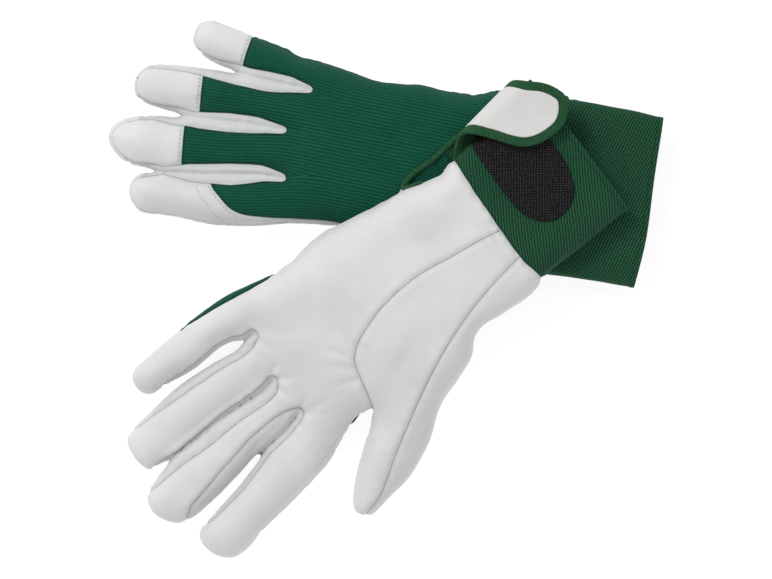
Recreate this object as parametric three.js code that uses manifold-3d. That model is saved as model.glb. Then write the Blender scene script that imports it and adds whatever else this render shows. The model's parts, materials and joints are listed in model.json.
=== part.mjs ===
// A pair of leather gardening gloves with ribbed knit backs, wide elastic cuffs and wrist straps.
// Millimetres, +Z up. The right glove lies palm down on the table, and the left one lies palm up across it.
// Each glove is a hollow skin: its outer shape less its inside, cut along its seams into its sewn pieces.
import * as THREE from "three";
import { mergeVertices } from "three/addons/utils/BufferGeometryUtils.js";
import Module from "manifold-3d";

const wasm = await Module();
wasm.setup();

// ---- Driving dimensions ----
const HAND_HEIGHT = 18; // a filled glove lying flat, from its back to its palm
const SKIN = 1.2; // leather and knit alike
const GAP = 0.35; // left open along every seam
const ROUND = 5; // the hand's edges
const BACK_SEAM = 5.5; // the back wraps up to here
const PALM_SEAM = 12.5; // the palm wraps down to here between the fingers
const THUMB_LOW = BACK_SEAM + GAP;
const THUMB_SEAM = 9.5; // the thumb's back piece wraps up to here on its inner side
const THUMB_ROUND = 4;
const FOURCHETTE_STOP = 10; // the strips between the fingers end this far before a fingertip
const CAP_LENGTHS = { little: 27, ring: 34, middle: 36 }; // leather over the back of each fingertip

const CUFF_LOW = 0.5;
const CUFF_HIGH = 12.5;
const CUFF_WALL = 1.5;
const CUFF_ROUND = 4;
const SLIT_LOW = 4;
const SLIT_HIGH = 10;
const BINDING = 1.5; // thickness of the tape along the slit
const SLIT_REACH = 7; // the slit's cut goes this far in from the cuff's ulnar edge
const BINDING_REACH = 1.6; // and the tape along it this far, on both sides of that edge
const PATCH = { from: 9, to: 41, root: 4, tip: 54, low: CUFF_HIGH + GAP, high: CUFF_HIGH + 1.2 };
const HOOK_LAYER = [0.3, 1.1]; // heights above the loop patch
const HOOK_BORDER = 3; // left bare round the hook pad, under the strap
const HOOK_START = 8; // from the strap's fold to the hook pad
const WEB_LAYER = [1.45, 2.65];
const FACING_LAYER = [3, 3.7];
const STRAP_BORDER = 4; // width of the binding round the strap

const LIFT = HAND_HEIGHT + 1; // the left glove lies this high where it crosses the right one
const DRAPE_LINE = { through: [-23.3, 30.5], normal: [-0.23, -0.973] }; // the right glove's thumb side
const DRAPE_START = 24;
const DRAPE_END = 120;
const BEND_TOLERANCE = 0.12; // how far a facet may stand off the drape
const LIMB_MARGIN = 0.25; // a finger's area is drawn this much wider to hold all of its skin
const LIMB_STEPS = 5;
const TIP_STEPS = 6;

// ---- Looks ----
const leather = { color: 0xdedfde, roughness: 0.6, metalness: 0 };
const knit = { color: 0x0b5a3c, roughness: 0.95, metalness: 0 };
const elastic = { color: 0x12502f, roughness: 0.9, metalness: 0 };
const tape = { color: 0x28603a, roughness: 0.85, metalness: 0 };
const pad = { color: 0x232123, roughness: 1, metalness: 0 };

// ---- The two hands, seen from above with the fingers to the left ----
// A spine point is [x, y, half width], and the last one is the tip. The cuff's corners are at the wrist's ulnar
// (little finger) side, the wrist's radial side, and then the same two at its open end, radial side first.
const leftHand = {
  palm: [
    [32.4, 62], [21.7, 52], [3.5, 43.5], [-20, 31.7], [-38.3, 19.9], [-54.3, 6.6], [-61, -6], [-59, -24],
    [-50, -45], [-38, -60], [-20, -69], [-6, -57], [12, -42], [34, -20], [56, -13.2], [69, -5.8], [75.1, 5],
  ],
  fingers: {
    little: [
      [-40, 5, 9.5], [-59, -7, 11.4], [-77, -19, 10.8], [-95.6, -30.3, 9.8], [-111, -41.2, 8.8],
      [-119.5, -46.5, 0],
    ],
    ring: [[-50, -26, 12], [-74.2, -44.9, 11.8], [-93.5, -58.6, 11], [-110.6, -73, 10.6], [-119.8, -80.5, 0]],
    middle: [[-40, -46, 12], [-65.2, -67.6, 11.5], [-81.5, -82.6, 12], [-97, -96.3, 12], [-107.8, -106.8, 0]],
    index: [
      [-12, -44, 11], [-30.5, -65, 12.8], [-48.5, -86.2, 12.6], [-61.8, -101.9, 12], [-74.6, -117.8, 11.4],
      [-83, -128.4, 0],
    ],
  },
  thumb: [
    [46, -2, 16], [30, -26, 15], [17, -48, 14], [9.5, -60, 13.6], [2.6, -79.9, 12.4], [-4.6, -97, 9.4],
    [-10.3, -109.7, 0],
  ],
  palmSeam: [
    [54.4, 27.6], [31.3, 15.1], [3.5, -3.6], [-11.5, -22.9], [-14.7, -35.8], [-8.3, -51.8], [-6.6, -58.2],
  ],
  web: [[-12, -72], [-30, -118]],
  sideSeam: [[64, 15.1], [47.4, -2.5], [26, -33.6], [9.9, -68], [0.8, -92.5], [-9.5, -107]],
  guardEdge: [[-70, -87], [-59, -91], [-49, -92], [-38, -84.5], [-12, -60]],
  cuff: [[32.4, 62.2], [75.1, 5], [116.4, 38], [73.7, 95.3]],
  slitEnd: [7.8, 47.5],
  strap: { skew: 0.67, root: -8.5, tip: 22, raise: 0.11 },
};
const rightHand = {
  palm: [
    [80.4, 91.4], [62, 94.5], [42.5, 93.7], [33.2, 95.5], [13.9, 100.2], [-9, 101.7], [-30, 108], [-38, 103],
    [-42, 95], [-49.5, 76.3], [-50, 52.6], [-50, 34], [-27.9, 30.4], [0, 26], [32, 19], [66, 8.2],
  ],
  fingers: {
    little: [
      [-14, 94, 8.5], [-35, 101.5, 9.7], [-50.9, 107.6, 9.8], [-65, 112.6, 9.6], [-79, 117.6, 9.4],
      [-93.2, 121.6, 0],
    ],
    ring: [[-36, 84, 11], [-58, 89.5, 10.6], [-74.6, 92.4, 10.6], [-104, 96.2, 10.8], [-121.9, 98.2, 0]],
    middle: [[-36, 64.5, 11.6], [-62, 66.4, 11.6], [-79.4, 68, 11.8], [-112, 70.8, 12], [-133.4, 72.2, 0]],
    index: [[-24, 42.5, 10], [-62, 42.6, 10.6], [-81.8, 43.6, 10.8], [-108, 46.4, 10.8], [-124, 47, 0]],
  },
  thumb: [[40, 26, 14.5], [12, 23, 14.5], [-8, 18.5, 14], [-25.2, 10.3, 13], [-40, -3, 11.5], [-52, -15, 0]],
  palmSeam: [[70, 41], [44, 45], [14, 47], [-9, 43], [-20, 36], [-26, 29.6]],
  web: [[-45, 22.5], [-82, 8]],
  sideSeam: [[68, 22], [42, 21], [14, 17], [-12, 9], [-33, -5], [-51, -14]],
  guardEdge: [[-84, 58], [-80, 44.5], [-75.4, 38.8], [-69.7, 35], [-56.4, 33.6], [-28, 31.5]],
  cuff: [[80.4, 91.4], [66, 8.2], [118.8, 0.9], [133.4, 80.7]],
  slitEnd: [55, 94.6],
  strap: { skew: 0, root: -6, tip: 34, raise: 0 },
};

// ---- Outlines, as lists of THREE.Vector2 ----
const vector = ([x, y]) => new THREE.Vector2(x, y);
const unit = (from, to) => to.clone().sub(from).normalize();
const shifted = (point, direction, distance) => point.clone().addScaledVector(direction, distance);

// A finger or thumb: both sides of its spine and a blunt round tip, all moved in by inset.
function limbOutline(spine, inset = 0) {
  const centre = new THREE.SplineCurve(spine.map(vector));
  const halfWidth = new THREE.SplineCurve(spine.map(([, , half], i) => new THREE.Vector2(i, half)));
  const lastWide = (spine.length - 2) / (spine.length - 1);
  const left = [];
  const right = [];
  for (let i = 0; i < LIMB_STEPS; i++) {
    const t = (lastWide * i) / LIMB_STEPS;
    const point = centre.getPoint(t);
    const tangent = centre.getTangent(t);
    const normal = new THREE.Vector2(-tangent.y, tangent.x);
    const half = halfWidth.getPoint(t).y - inset;
    left.push(shifted(point, normal, half));
    right.unshift(shifted(point, normal, -half));
  }
  const shoulder = vector(spine.at(-2));
  const tip = vector(spine.at(-1));
  const ahead = unit(shoulder, tip);
  const side = new THREE.Vector2(-ahead.y, ahead.x);
  const half = spine.at(-2)[2] - inset;
  const reach = tip.distanceTo(shoulder) - inset;
  const bluntness = 0.8;
  const round = [];
  for (let i = 0; i <= TIP_STEPS; i++) {
    const angle = (Math.PI * i) / TIP_STEPS;
    const across = Math.sign(Math.cos(angle)) * Math.abs(Math.cos(angle)) ** bluntness;
    round.push(shifted(shifted(shoulder, side, across * half), ahead, Math.sin(angle) ** bluntness * reach));
  }
  return [...left, ...round, ...right];
}

// Each corner of a closed outline moved outwards by distance, or inwards where it is negative.
function offset(points, distance) {
  const outwards = Math.sign(THREE.ShapeUtils.area(points));
  return points.map((point, i) => {
    const a = unit(points.at(i - 1), point);
    const b = unit(point, points[(i + 1) % points.length]);
    const normal = new THREE.Vector2(a.y + b.y, -a.x - b.x).normalize();
    const miter = Math.max(0.5, normal.dot(new THREE.Vector2(a.y, -a.x)));
    return shifted(point, normal, (outwards * distance) / miter);
  });
}

// ---- Solids ----
function toSolid(geometry) {
  geometry.deleteAttribute("normal");
  geometry.deleteAttribute("uv");
  const merged = mergeVertices(geometry, 1e-4);
  const mesh = new wasm.Mesh({
    numProp: 3,
    vertProperties: merged.attributes.position.array,
    triVerts: new Uint32Array(merged.index.array),
  });
  return new wasm.Manifold(mesh);
}

function slab(points, low, high) {
  const depth = high - low;
  const geometry = new THREE.ExtrudeGeometry(new THREE.Shape(points), { depth, bevelEnabled: false });
  return toSolid(geometry.translate(0, 0, low));
}

// A slab whose edges are rounded, inside its outline.
function pillow(points, low, high, round) {
  const geometry = new THREE.ExtrudeGeometry(new THREE.Shape(points), {
    depth: high - low - 2 * round,
    bevelThickness: round,
    bevelSize: round,
    bevelOffset: -round,
    bevelSegments: 2,
  });
  return toSolid(geometry.translate(0, 0, low + round));
}

const join = (solids) => solids.reduce((all, next) => all.add(next));

function toGeometry(solid) {
  const mesh = solid.getMesh();
  const geometry = new THREE.BufferGeometry();
  geometry.setAttribute("position", new THREE.BufferAttribute(mesh.vertProperties, mesh.numProp));
  geometry.setIndex(new THREE.BufferAttribute(mesh.triVerts, 1));
  return geometry;
}

// ---- The hand, with its back at z = 0 and its palm at HAND_HEIGHT ----
// The cuff's own axes: u runs along its ulnar edge from the wrist, and v from there to the radial edge.
function cuffAxes(hand) {
  const [ulnarWrist, radialWrist, , ulnarEnd] = hand.cuff.map(vector);
  const along = unit(ulnarWrist, ulnarEnd);
  const across = new THREE.Vector2(-along.y, along.x);
  if (across.dot(unit(ulnarWrist, radialWrist)) < 0) {
    across.negate();
  }
  const at = (u, v) => shifted(shifted(ulnarWrist, along, u), across, v);
  return { along, across, at };
}

// The space inside the wrist, which leads from the cuff into the palm.
function wristPassage(hand) {
  const [ulnarWrist, radialWrist, radialEnd, ulnarEnd] = hand.cuff.map(vector);
  const across = unit(ulnarWrist, radialWrist);
  const margin = 5;
  const inwards = 18;
  const outwards = 6;
  const ulnar = shifted(ulnarWrist, across, margin);
  const radial = shifted(radialWrist, across, -margin);
  return [
    shifted(ulnar, unit(ulnarWrist, ulnarEnd), -inwards),
    shifted(radial, unit(radialWrist, radialEnd), -inwards),
    shifted(radial, unit(radialWrist, radialEnd), outwards),
    shifted(ulnar, unit(ulnarWrist, ulnarEnd), outwards),
  ];
}

// The strip along the slit, from its end in the palm to past the cuff's own end.
function slitArea(hand, halfWidth, shorter = 0, past = 8) {
  const [ulnarWrist, , , ulnarEnd] = hand.cuff.map(vector);
  const end = vector(hand.slitEnd);
  const start = shifted(end, unit(end, ulnarWrist), shorter);
  const beyond = shifted(ulnarEnd, unit(ulnarWrist, ulnarEnd), past);
  const side = (a, b) => new THREE.Vector2(a.y - b.y, b.x - a.x).normalize();
  const wristSide = side(start, beyond);
  return [
    shifted(start, wristSide, halfWidth),
    shifted(start, wristSide, -halfWidth),
    shifted(ulnarWrist, wristSide, -halfWidth),
    shifted(beyond, wristSide, -halfWidth),
    shifted(beyond, wristSide, halfWidth),
    shifted(ulnarWrist, wristSide, halfWidth),
  ];
}

// The hand's hollow skin, open at the wrist and at the slit.
function handSkin(hand) {
  const palm = hand.palm.map(vector);
  const fingers = Object.values(hand.fingers);
  const { thumb } = hand;
  const solidHand = (inset) => {
    const top = HAND_HEIGHT - inset;
    return join([
      pillow(offset(palm, -inset), inset, top, ROUND - inset),
      ...fingers.map((finger) => pillow(limbOutline(finger, inset), inset, top, ROUND - inset)),
      pillow(limbOutline(thumb, inset), THUMB_LOW + inset, top, THUMB_ROUND - inset),
    ]);
  };
  const passage = slab(wristPassage(hand), CUFF_LOW + CUFF_WALL, CUFF_HIGH - CUFF_WALL);
  const slit = slab(slitArea(hand, SLIT_REACH), SLIT_LOW, SLIT_HIGH);
  return solidHand(0).subtract(solidHand(SKIN)).subtract(passage).subtract(slit);
}

// A fingertip's length of a finger, seen from above.
function fingertip(spine, length) {
  const tip = vector(spine.at(-1));
  const back = unit(tip, vector(spine.at(-3)));
  const side = new THREE.Vector2(-back.y, back.x);
  const reach = 22;
  const past = 8;
  const corner = (forth, across) => shifted(shifted(tip, back, forth), side, across);
  return [corner(length, reach), corner(length, -reach), corner(-past, -reach), corner(-past, reach)];
}

// The area between two neighbouring fingers' middle lines, which the strip sewn between them lies in.
function betweenFingers(first, second) {
  const middleLine = (spine) => {
    const points = spine.map(vector);
    const tip = points.pop();
    points[points.length - 1] = shifted(tip, unit(tip, points.at(-1)), FOURCHETTE_STOP);
    return points;
  };
  return [...middleLine(first), ...middleLine(second).reverse()];
}

// The leather guard that wraps over the index finger's back from its thumb side.
function guardArea(hand) {
  const edge = hand.guardEdge.map(vector);
  const [knuckle, tip] = [hand.fingers.index[0], hand.fingers.index.at(-1)].map(vector);
  const ahead = unit(knuckle, tip);
  const away = edge.at(-1).clone().sub(knuckle);
  away.addScaledVector(ahead, -away.dot(ahead)).normalize();
  const clear = 30;
  const past = 8;
  const beyond = shifted(tip, ahead, past);
  const corners = [
    shifted(edge.at(-1), away, clear),
    shifted(beyond, away, clear),
    shifted(beyond, away, -clear),
  ];
  return [...edge, ...corners];
}

// What the thumb's front and back pieces cover, seen from above.
function thumbAreas(hand) {
  const palmSeam = hand.palmSeam.map(vector);
  const sideSeam = hand.sideSeam.map(vector);
  const web = hand.web.map(vector);
  const [ulnarWrist, radialWrist, radialEnd] = hand.cuff.map(vector);
  const toWrist = unit(radialWrist, radialEnd);
  const toRadial = unit(ulnarWrist, radialWrist);
  const ahead = unit(sideSeam.at(-2), sideSeam.at(-1));
  const past = 12;
  const aside = 45;
  const beyond = shifted(sideSeam.at(-1), ahead, past);
  const front = [...palmSeam, ...web, beyond, ...[...sideSeam].reverse()];
  const back = [...sideSeam, beyond, shifted(beyond, toRadial, aside), shifted(radialWrist, toRadial, aside)];
  const ends = [shifted(sideSeam[0], toWrist, past), shifted(palmSeam[0], toWrist, past)];
  return {
    front: [...front, ...ends],
    back: [...back, shifted(radialWrist, toWrist, past), ends[0]],
  };
}

function handPieces(hand) {
  const skin = handSkin(hand);
  const top = HAND_HEIGHT + 1;
  const far = 300;
  const everywhere = [[-far, -far], [far, -far], [far, far], [-far, far]].map(vector);
  const pieces = {};

  // The back: the knit, a leather cap on each of three fingertips, and the index finger's guard.
  const backLayer = skin.intersect(slab(everywhere, -1, BACK_SEAM));
  const tips = Object.entries(CAP_LENGTHS).map(([name, length]) => {
    const spine = hand.fingers[name];
    return { name: `tip_cap_${name}`, spine, area: fingertip(spine, length) };
  });
  tips.push({ name: "index_guard", spine: hand.fingers.index, area: guardArea(hand) });
  let knitBack = backLayer;
  for (const { name, spine, area } of tips) {
    const finger = slab(limbOutline(spine, -LIMB_MARGIN), -1, top);
    pieces[name] = backLayer.intersect(slab(area, -1, top)).intersect(finger);
    knitBack = knitBack.subtract(slab(offset(area, GAP), -1, top).intersect(finger));
  }
  pieces.back_knit = knitBack;

  // The palm's hide, with the strips between the fingers and the thumb's two pieces let into it.
  const { little, ring, middle, index } = hand.fingers;
  const strips = {
    fourchette_little_ring: betweenFingers(little, ring),
    fourchette_ring_middle: betweenFingers(ring, middle),
    fourchette_middle_index: betweenFingers(middle, index),
  };
  let palm = skin.intersect(slab(everywhere, BACK_SEAM + GAP, top));
  for (const [name, area] of Object.entries(strips)) {
    pieces[name] = skin.intersect(slab(area, BACK_SEAM + GAP, PALM_SEAM - GAP));
    palm = palm.subtract(slab(offset(area, GAP), 0, PALM_SEAM));
  }
  const { front, back } = thumbAreas(hand);
  const thumbLayer = skin.intersect(slab(everywhere, THUMB_LOW, top));
  const backArea = slab(back, 0, top).add(slab(offset(front, GAP), 0, THUMB_SEAM - GAP));
  const frontArea = slab(offset(front, -GAP), THUMB_SEAM, top);
  pieces.thumb_front = thumbLayer.intersect(frontArea);
  pieces.thumb_back = thumbLayer.intersect(backArea);
  pieces.palm_leather = palm
    .subtract(slab(offset(front, 2 * GAP), 0, top))
    .subtract(slab(offset(back, GAP), 0, top));
  return pieces;
}

// ---- The cuff, its strap and the slit's binding ----
// A tongue across the cuff in its own axes: straight sides, a rounded tip, and sides that lean by skew.
function tongue(axes, { from, to, root, tip, skew = 0, inset = 0 }) {
  const half = (to - from) / 2 - inset;
  const middle = (to + from) / 2;
  const capShare = 0.7;
  const cap = capShare * half;
  const shoulder = tip - inset - cap;
  const points = [[-half, root], [half, root]];
  for (let i = 0; i <= TIP_STEPS; i++) {
    const angle = (Math.PI * i) / TIP_STEPS;
    points.push([half * Math.cos(angle), shoulder + cap * Math.sin(angle)]);
  }
  return points.map(([u, v]) => axes.at(middle + u + skew * (v - root), v));
}

// The cuff's outline, carried on past both of its ends.
function cuffOutline(hand, inset) {
  const [ulnarWrist, radialWrist, radialEnd, ulnarEnd] = hand.cuff.map(vector);
  const past = 12;
  const onwards = (from, to) => shifted(to, unit(from, to), past);
  const outline = [
    onwards(ulnarEnd, ulnarWrist),
    onwards(radialEnd, radialWrist),
    onwards(radialWrist, radialEnd),
    onwards(ulnarWrist, ulnarEnd),
  ];
  return offset(outline, -inset);
}

function cuffPieces(hand) {
  const axes = cuffAxes(hand);
  const pieces = {};
  const [ulnarWrist, radialWrist, radialEnd, ulnarEnd] = hand.cuff.map(vector);
  const aside = 3;
  const ownLength = [
    shifted(shifted(ulnarWrist, axes.along, GAP), axes.across, -aside),
    shifted(shifted(radialWrist, axes.along, GAP), axes.across, aside),
    shifted(radialEnd, axes.across, aside),
    shifted(ulnarEnd, axes.across, -aside),
  ];
  const outer = pillow(cuffOutline(hand, 0), CUFF_LOW, CUFF_HIGH, CUFF_ROUND);
  const inner = pillow(
    cuffOutline(hand, CUFF_WALL),
    CUFF_LOW + CUFF_WALL,
    CUFF_HIGH - CUFF_WALL,
    CUFF_ROUND - CUFF_WALL,
  );
  const slit = slab(slitArea(hand, SLIT_REACH), SLIT_LOW, SLIT_HIGH);
  const cuffLength = slab(ownLength, -1, HAND_HEIGHT);
  pieces.cuff_elastic = outer.subtract(inner).subtract(slit).intersect(cuffLength);

  // The binding follows both lips of the slit and turns round its end in the palm.
  const lowLip = SLIT_LOW + GAP;
  const highLip = SLIT_HIGH - GAP;
  const short = 1;
  const lips = slab(slitArea(hand, BINDING_REACH, short, -short), lowLip, highLip);
  const openArea = slitArea(hand, 2 * BINDING_REACH, short + 2 * BINDING);
  const between = slab(openArea, lowLip + BINDING, highLip - BINDING);
  pieces.slit_binding = lips.subtract(between);

  pieces.loop_patch = slab(tongue(axes, PATCH), PATCH.low, PATCH.high);
  return pieces;
}

// The strip of ground that the strap's fold stands on, beside the cuff's ulnar edge.
function strapRootArea(hand, margin = 0) {
  const { at } = cuffAxes(hand);
  const { root } = hand.strap;
  const deep = WEB_LAYER[1] - WEB_LAYER[0];
  const corners = [[PATCH.from, root], [PATCH.to, root], [PATCH.to, root + deep], [PATCH.from, root + deep]];
  return offset(corners.map(([u, v]) => at(u, v)), margin);
}

// The strap's layers, with z = 0 on the loop patch. Its fold comes down to the back half of the cuff.
function strapPieces(hand) {
  const axes = cuffAxes(hand);
  const shape = { ...PATCH, ...hand.strap };
  const outline = tongue(axes, shape);
  const field = tongue(axes, { ...shape, inset: STRAP_BORDER });
  const hookShape = { ...shape, inset: HOOK_BORDER, root: hand.strap.root + HOOK_START };
  const foldLow = SLIT_LOW + GAP - PATCH.high;
  const fold = slab(strapRootArea(hand), foldLow, WEB_LAYER[1]);
  const border = slab(outline, WEB_LAYER[0], FACING_LAYER[1]);
  const window = slab(offset(field, GAP), -1, FACING_LAYER[1] + 1);
  const foldSpace = slab(strapRootArea(hand, GAP), foldLow - 1, FACING_LAYER[0]);
  return {
    strap_binding: border.subtract(window).subtract(foldSpace),
    strap_webbing: slab(field, ...WEB_LAYER).add(fold),
    strap_leather: slab(field, ...FACING_LAYER),
    strap_hook: slab(tongue(axes, hookShape), ...HOOK_LAYER),
  };
}

// ---- Assembly ----
const LOOKS = {
  back_knit: knit,
  cuff_elastic: elastic,
  slit_binding: tape,
  strap_binding: tape,
  strap_webbing: elastic,
  loop_patch: pad,
  strap_hook: pad,
};

// The height of the left glove's underside at a place: level over the right glove, then down to the table.
function drapeHeight(x, y) {
  const { through, normal } = DRAPE_LINE;
  const past = (x - through[0]) * normal[0] + (y - through[1]) * normal[1];
  return LIFT * (1 - THREE.MathUtils.smoothstep(past, DRAPE_START, DRAPE_END));
}

// How far the drape bends away from the straight edge between two corners.
function bend(a, b) {
  const from = drapeHeight(a.x, a.y);
  const to = drapeHeight(b.x, b.y);
  const offLine = [0.25, 0.5, 0.75].map((t) => {
    const { x, y } = a.clone().lerp(b, t);
    return Math.abs(drapeHeight(x, y) - THREE.MathUtils.lerp(from, to, t));
  });
  return Math.max(...offLine);
}

// Splits a triangle at its most bent edge until its facets follow the drape. Two triangles that share an edge
// split it alike, so the mesh stays closed.
function follow(a, b, c, facets) {
  const bends = [bend(a, b), bend(b, c), bend(c, a)];
  const most = Math.max(...bends);
  if (most < BEND_TOLERANCE) {
    facets.push(a, b, c);
    return;
  }
  const turn = bends.indexOf(most);
  const [p, q, r] = [[a, b, c], [b, c, a], [c, a, b]][turn];
  const middle = p.clone().add(q).multiplyScalar(0.5);
  follow(p, middle, r, facets);
  follow(middle, q, r, facets);
}

function draped(geometry) {
  const loose = geometry.toNonIndexed();
  const corner = (i) => new THREE.Vector3().fromBufferAttribute(loose.attributes.position, i);
  const facets = [];
  for (let i = 0; i < loose.attributes.position.count; i += 3) {
    follow(corner(i), corner(i + 1), corner(i + 2), facets);
  }
  const lowered = facets.map((point) => point.clone().setZ(point.z + drapeHeight(point.x, point.y)));
  return mergeVertices(new THREE.BufferGeometry().setFromPoints(lowered), 1e-4);
}

// A named mesh whose own origin is its middle, placed so that its geometry stays where it was made.
function addMesh(group, name, geometry) {
  geometry.computeBoundingBox();
  const middle = geometry.boundingBox.getCenter(new THREE.Vector3());
  const look = LOOKS[name.replace(/^(left|right)_/, "")] ?? leather;
  const own = geometry.translate(-middle.x, -middle.y, -middle.z);
  const mesh = new THREE.Mesh(own, new THREE.MeshStandardMaterial(look));
  mesh.name = name;
  mesh.position.copy(middle);
  group.add(mesh);
}

// A group at the strap's fold, turned about it by the angle that the strap is raised.
function strapGroup(hand, opens) {
  const { along, at } = cuffAxes(hand);
  const foot = at((PATCH.from + PATCH.to) / 2, hand.strap.root);
  const group = new THREE.Group();
  group.position.set(foot.x, foot.y, SLIT_LOW + GAP);
  group.quaternion.setFromAxisAngle(new THREE.Vector3(along.x, along.y, 0), opens * hand.strap.raise);
  return group;
}

const leftGlove = new THREE.Group();
for (const [name, solid] of Object.entries({ ...handPieces(leftHand), ...cuffPieces(leftHand) })) {
  addMesh(leftGlove, `left_${name}`, draped(toGeometry(solid)));
}
const leftStrap = strapGroup(leftHand, -1);
for (const [name, solid] of Object.entries(strapPieces(leftHand))) {
  const { x, y, z } = leftStrap.position;
  addMesh(leftStrap, `left_${name}`, toGeometry(solid.translate([-x, -y, PATCH.high - z])));
}
leftStrap.position.z += LIFT;
leftGlove.add(leftStrap);

// The right glove lies the other way up.
const rightGlove = new THREE.Group();
const overturned = (solid) => solid.mirror([0, 0, 1]).translate([0, 0, HAND_HEIGHT]);
for (const [name, solid] of Object.entries({ ...handPieces(rightHand), ...cuffPieces(rightHand) })) {
  addMesh(rightGlove, `right_${name}`, toGeometry(overturned(solid)));
}
const rightStrap = strapGroup(rightHand, 1);
rightStrap.position.z = HAND_HEIGHT - rightStrap.position.z;
for (const [name, solid] of Object.entries(strapPieces(rightHand))) {
  const { x, y, z } = rightStrap.position;
  const turned = overturned(solid.translate([0, 0, PATCH.high]));
  addMesh(rightStrap, `right_${name}`, toGeometry(turned.translate([-x, -y, -z])));
}
rightGlove.add(rightStrap);

// The pair's own origin is the middle of its underside.
const gloves = new THREE.Group();
gloves.add(leftGlove, rightGlove);
const box = new THREE.Box3().setFromObject(gloves, true);
const centre = box.getCenter(new THREE.Vector3());
gloves.position.set(-centre.x, -centre.y, -box.min.z);
const pair = new THREE.Group();
pair.add(gloves);

export default pair;
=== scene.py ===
"""A pair of gardening gloves: leather palms, ribbed knit backs, wide elastic cuffs and wrist straps.

Each glove is one smooth pillow-like surface, made from its outline and cut along its seams into the sewn
pieces. Lengths are in millimetres until an object is made. Objects are in metres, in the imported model's
frame.
"""

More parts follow.
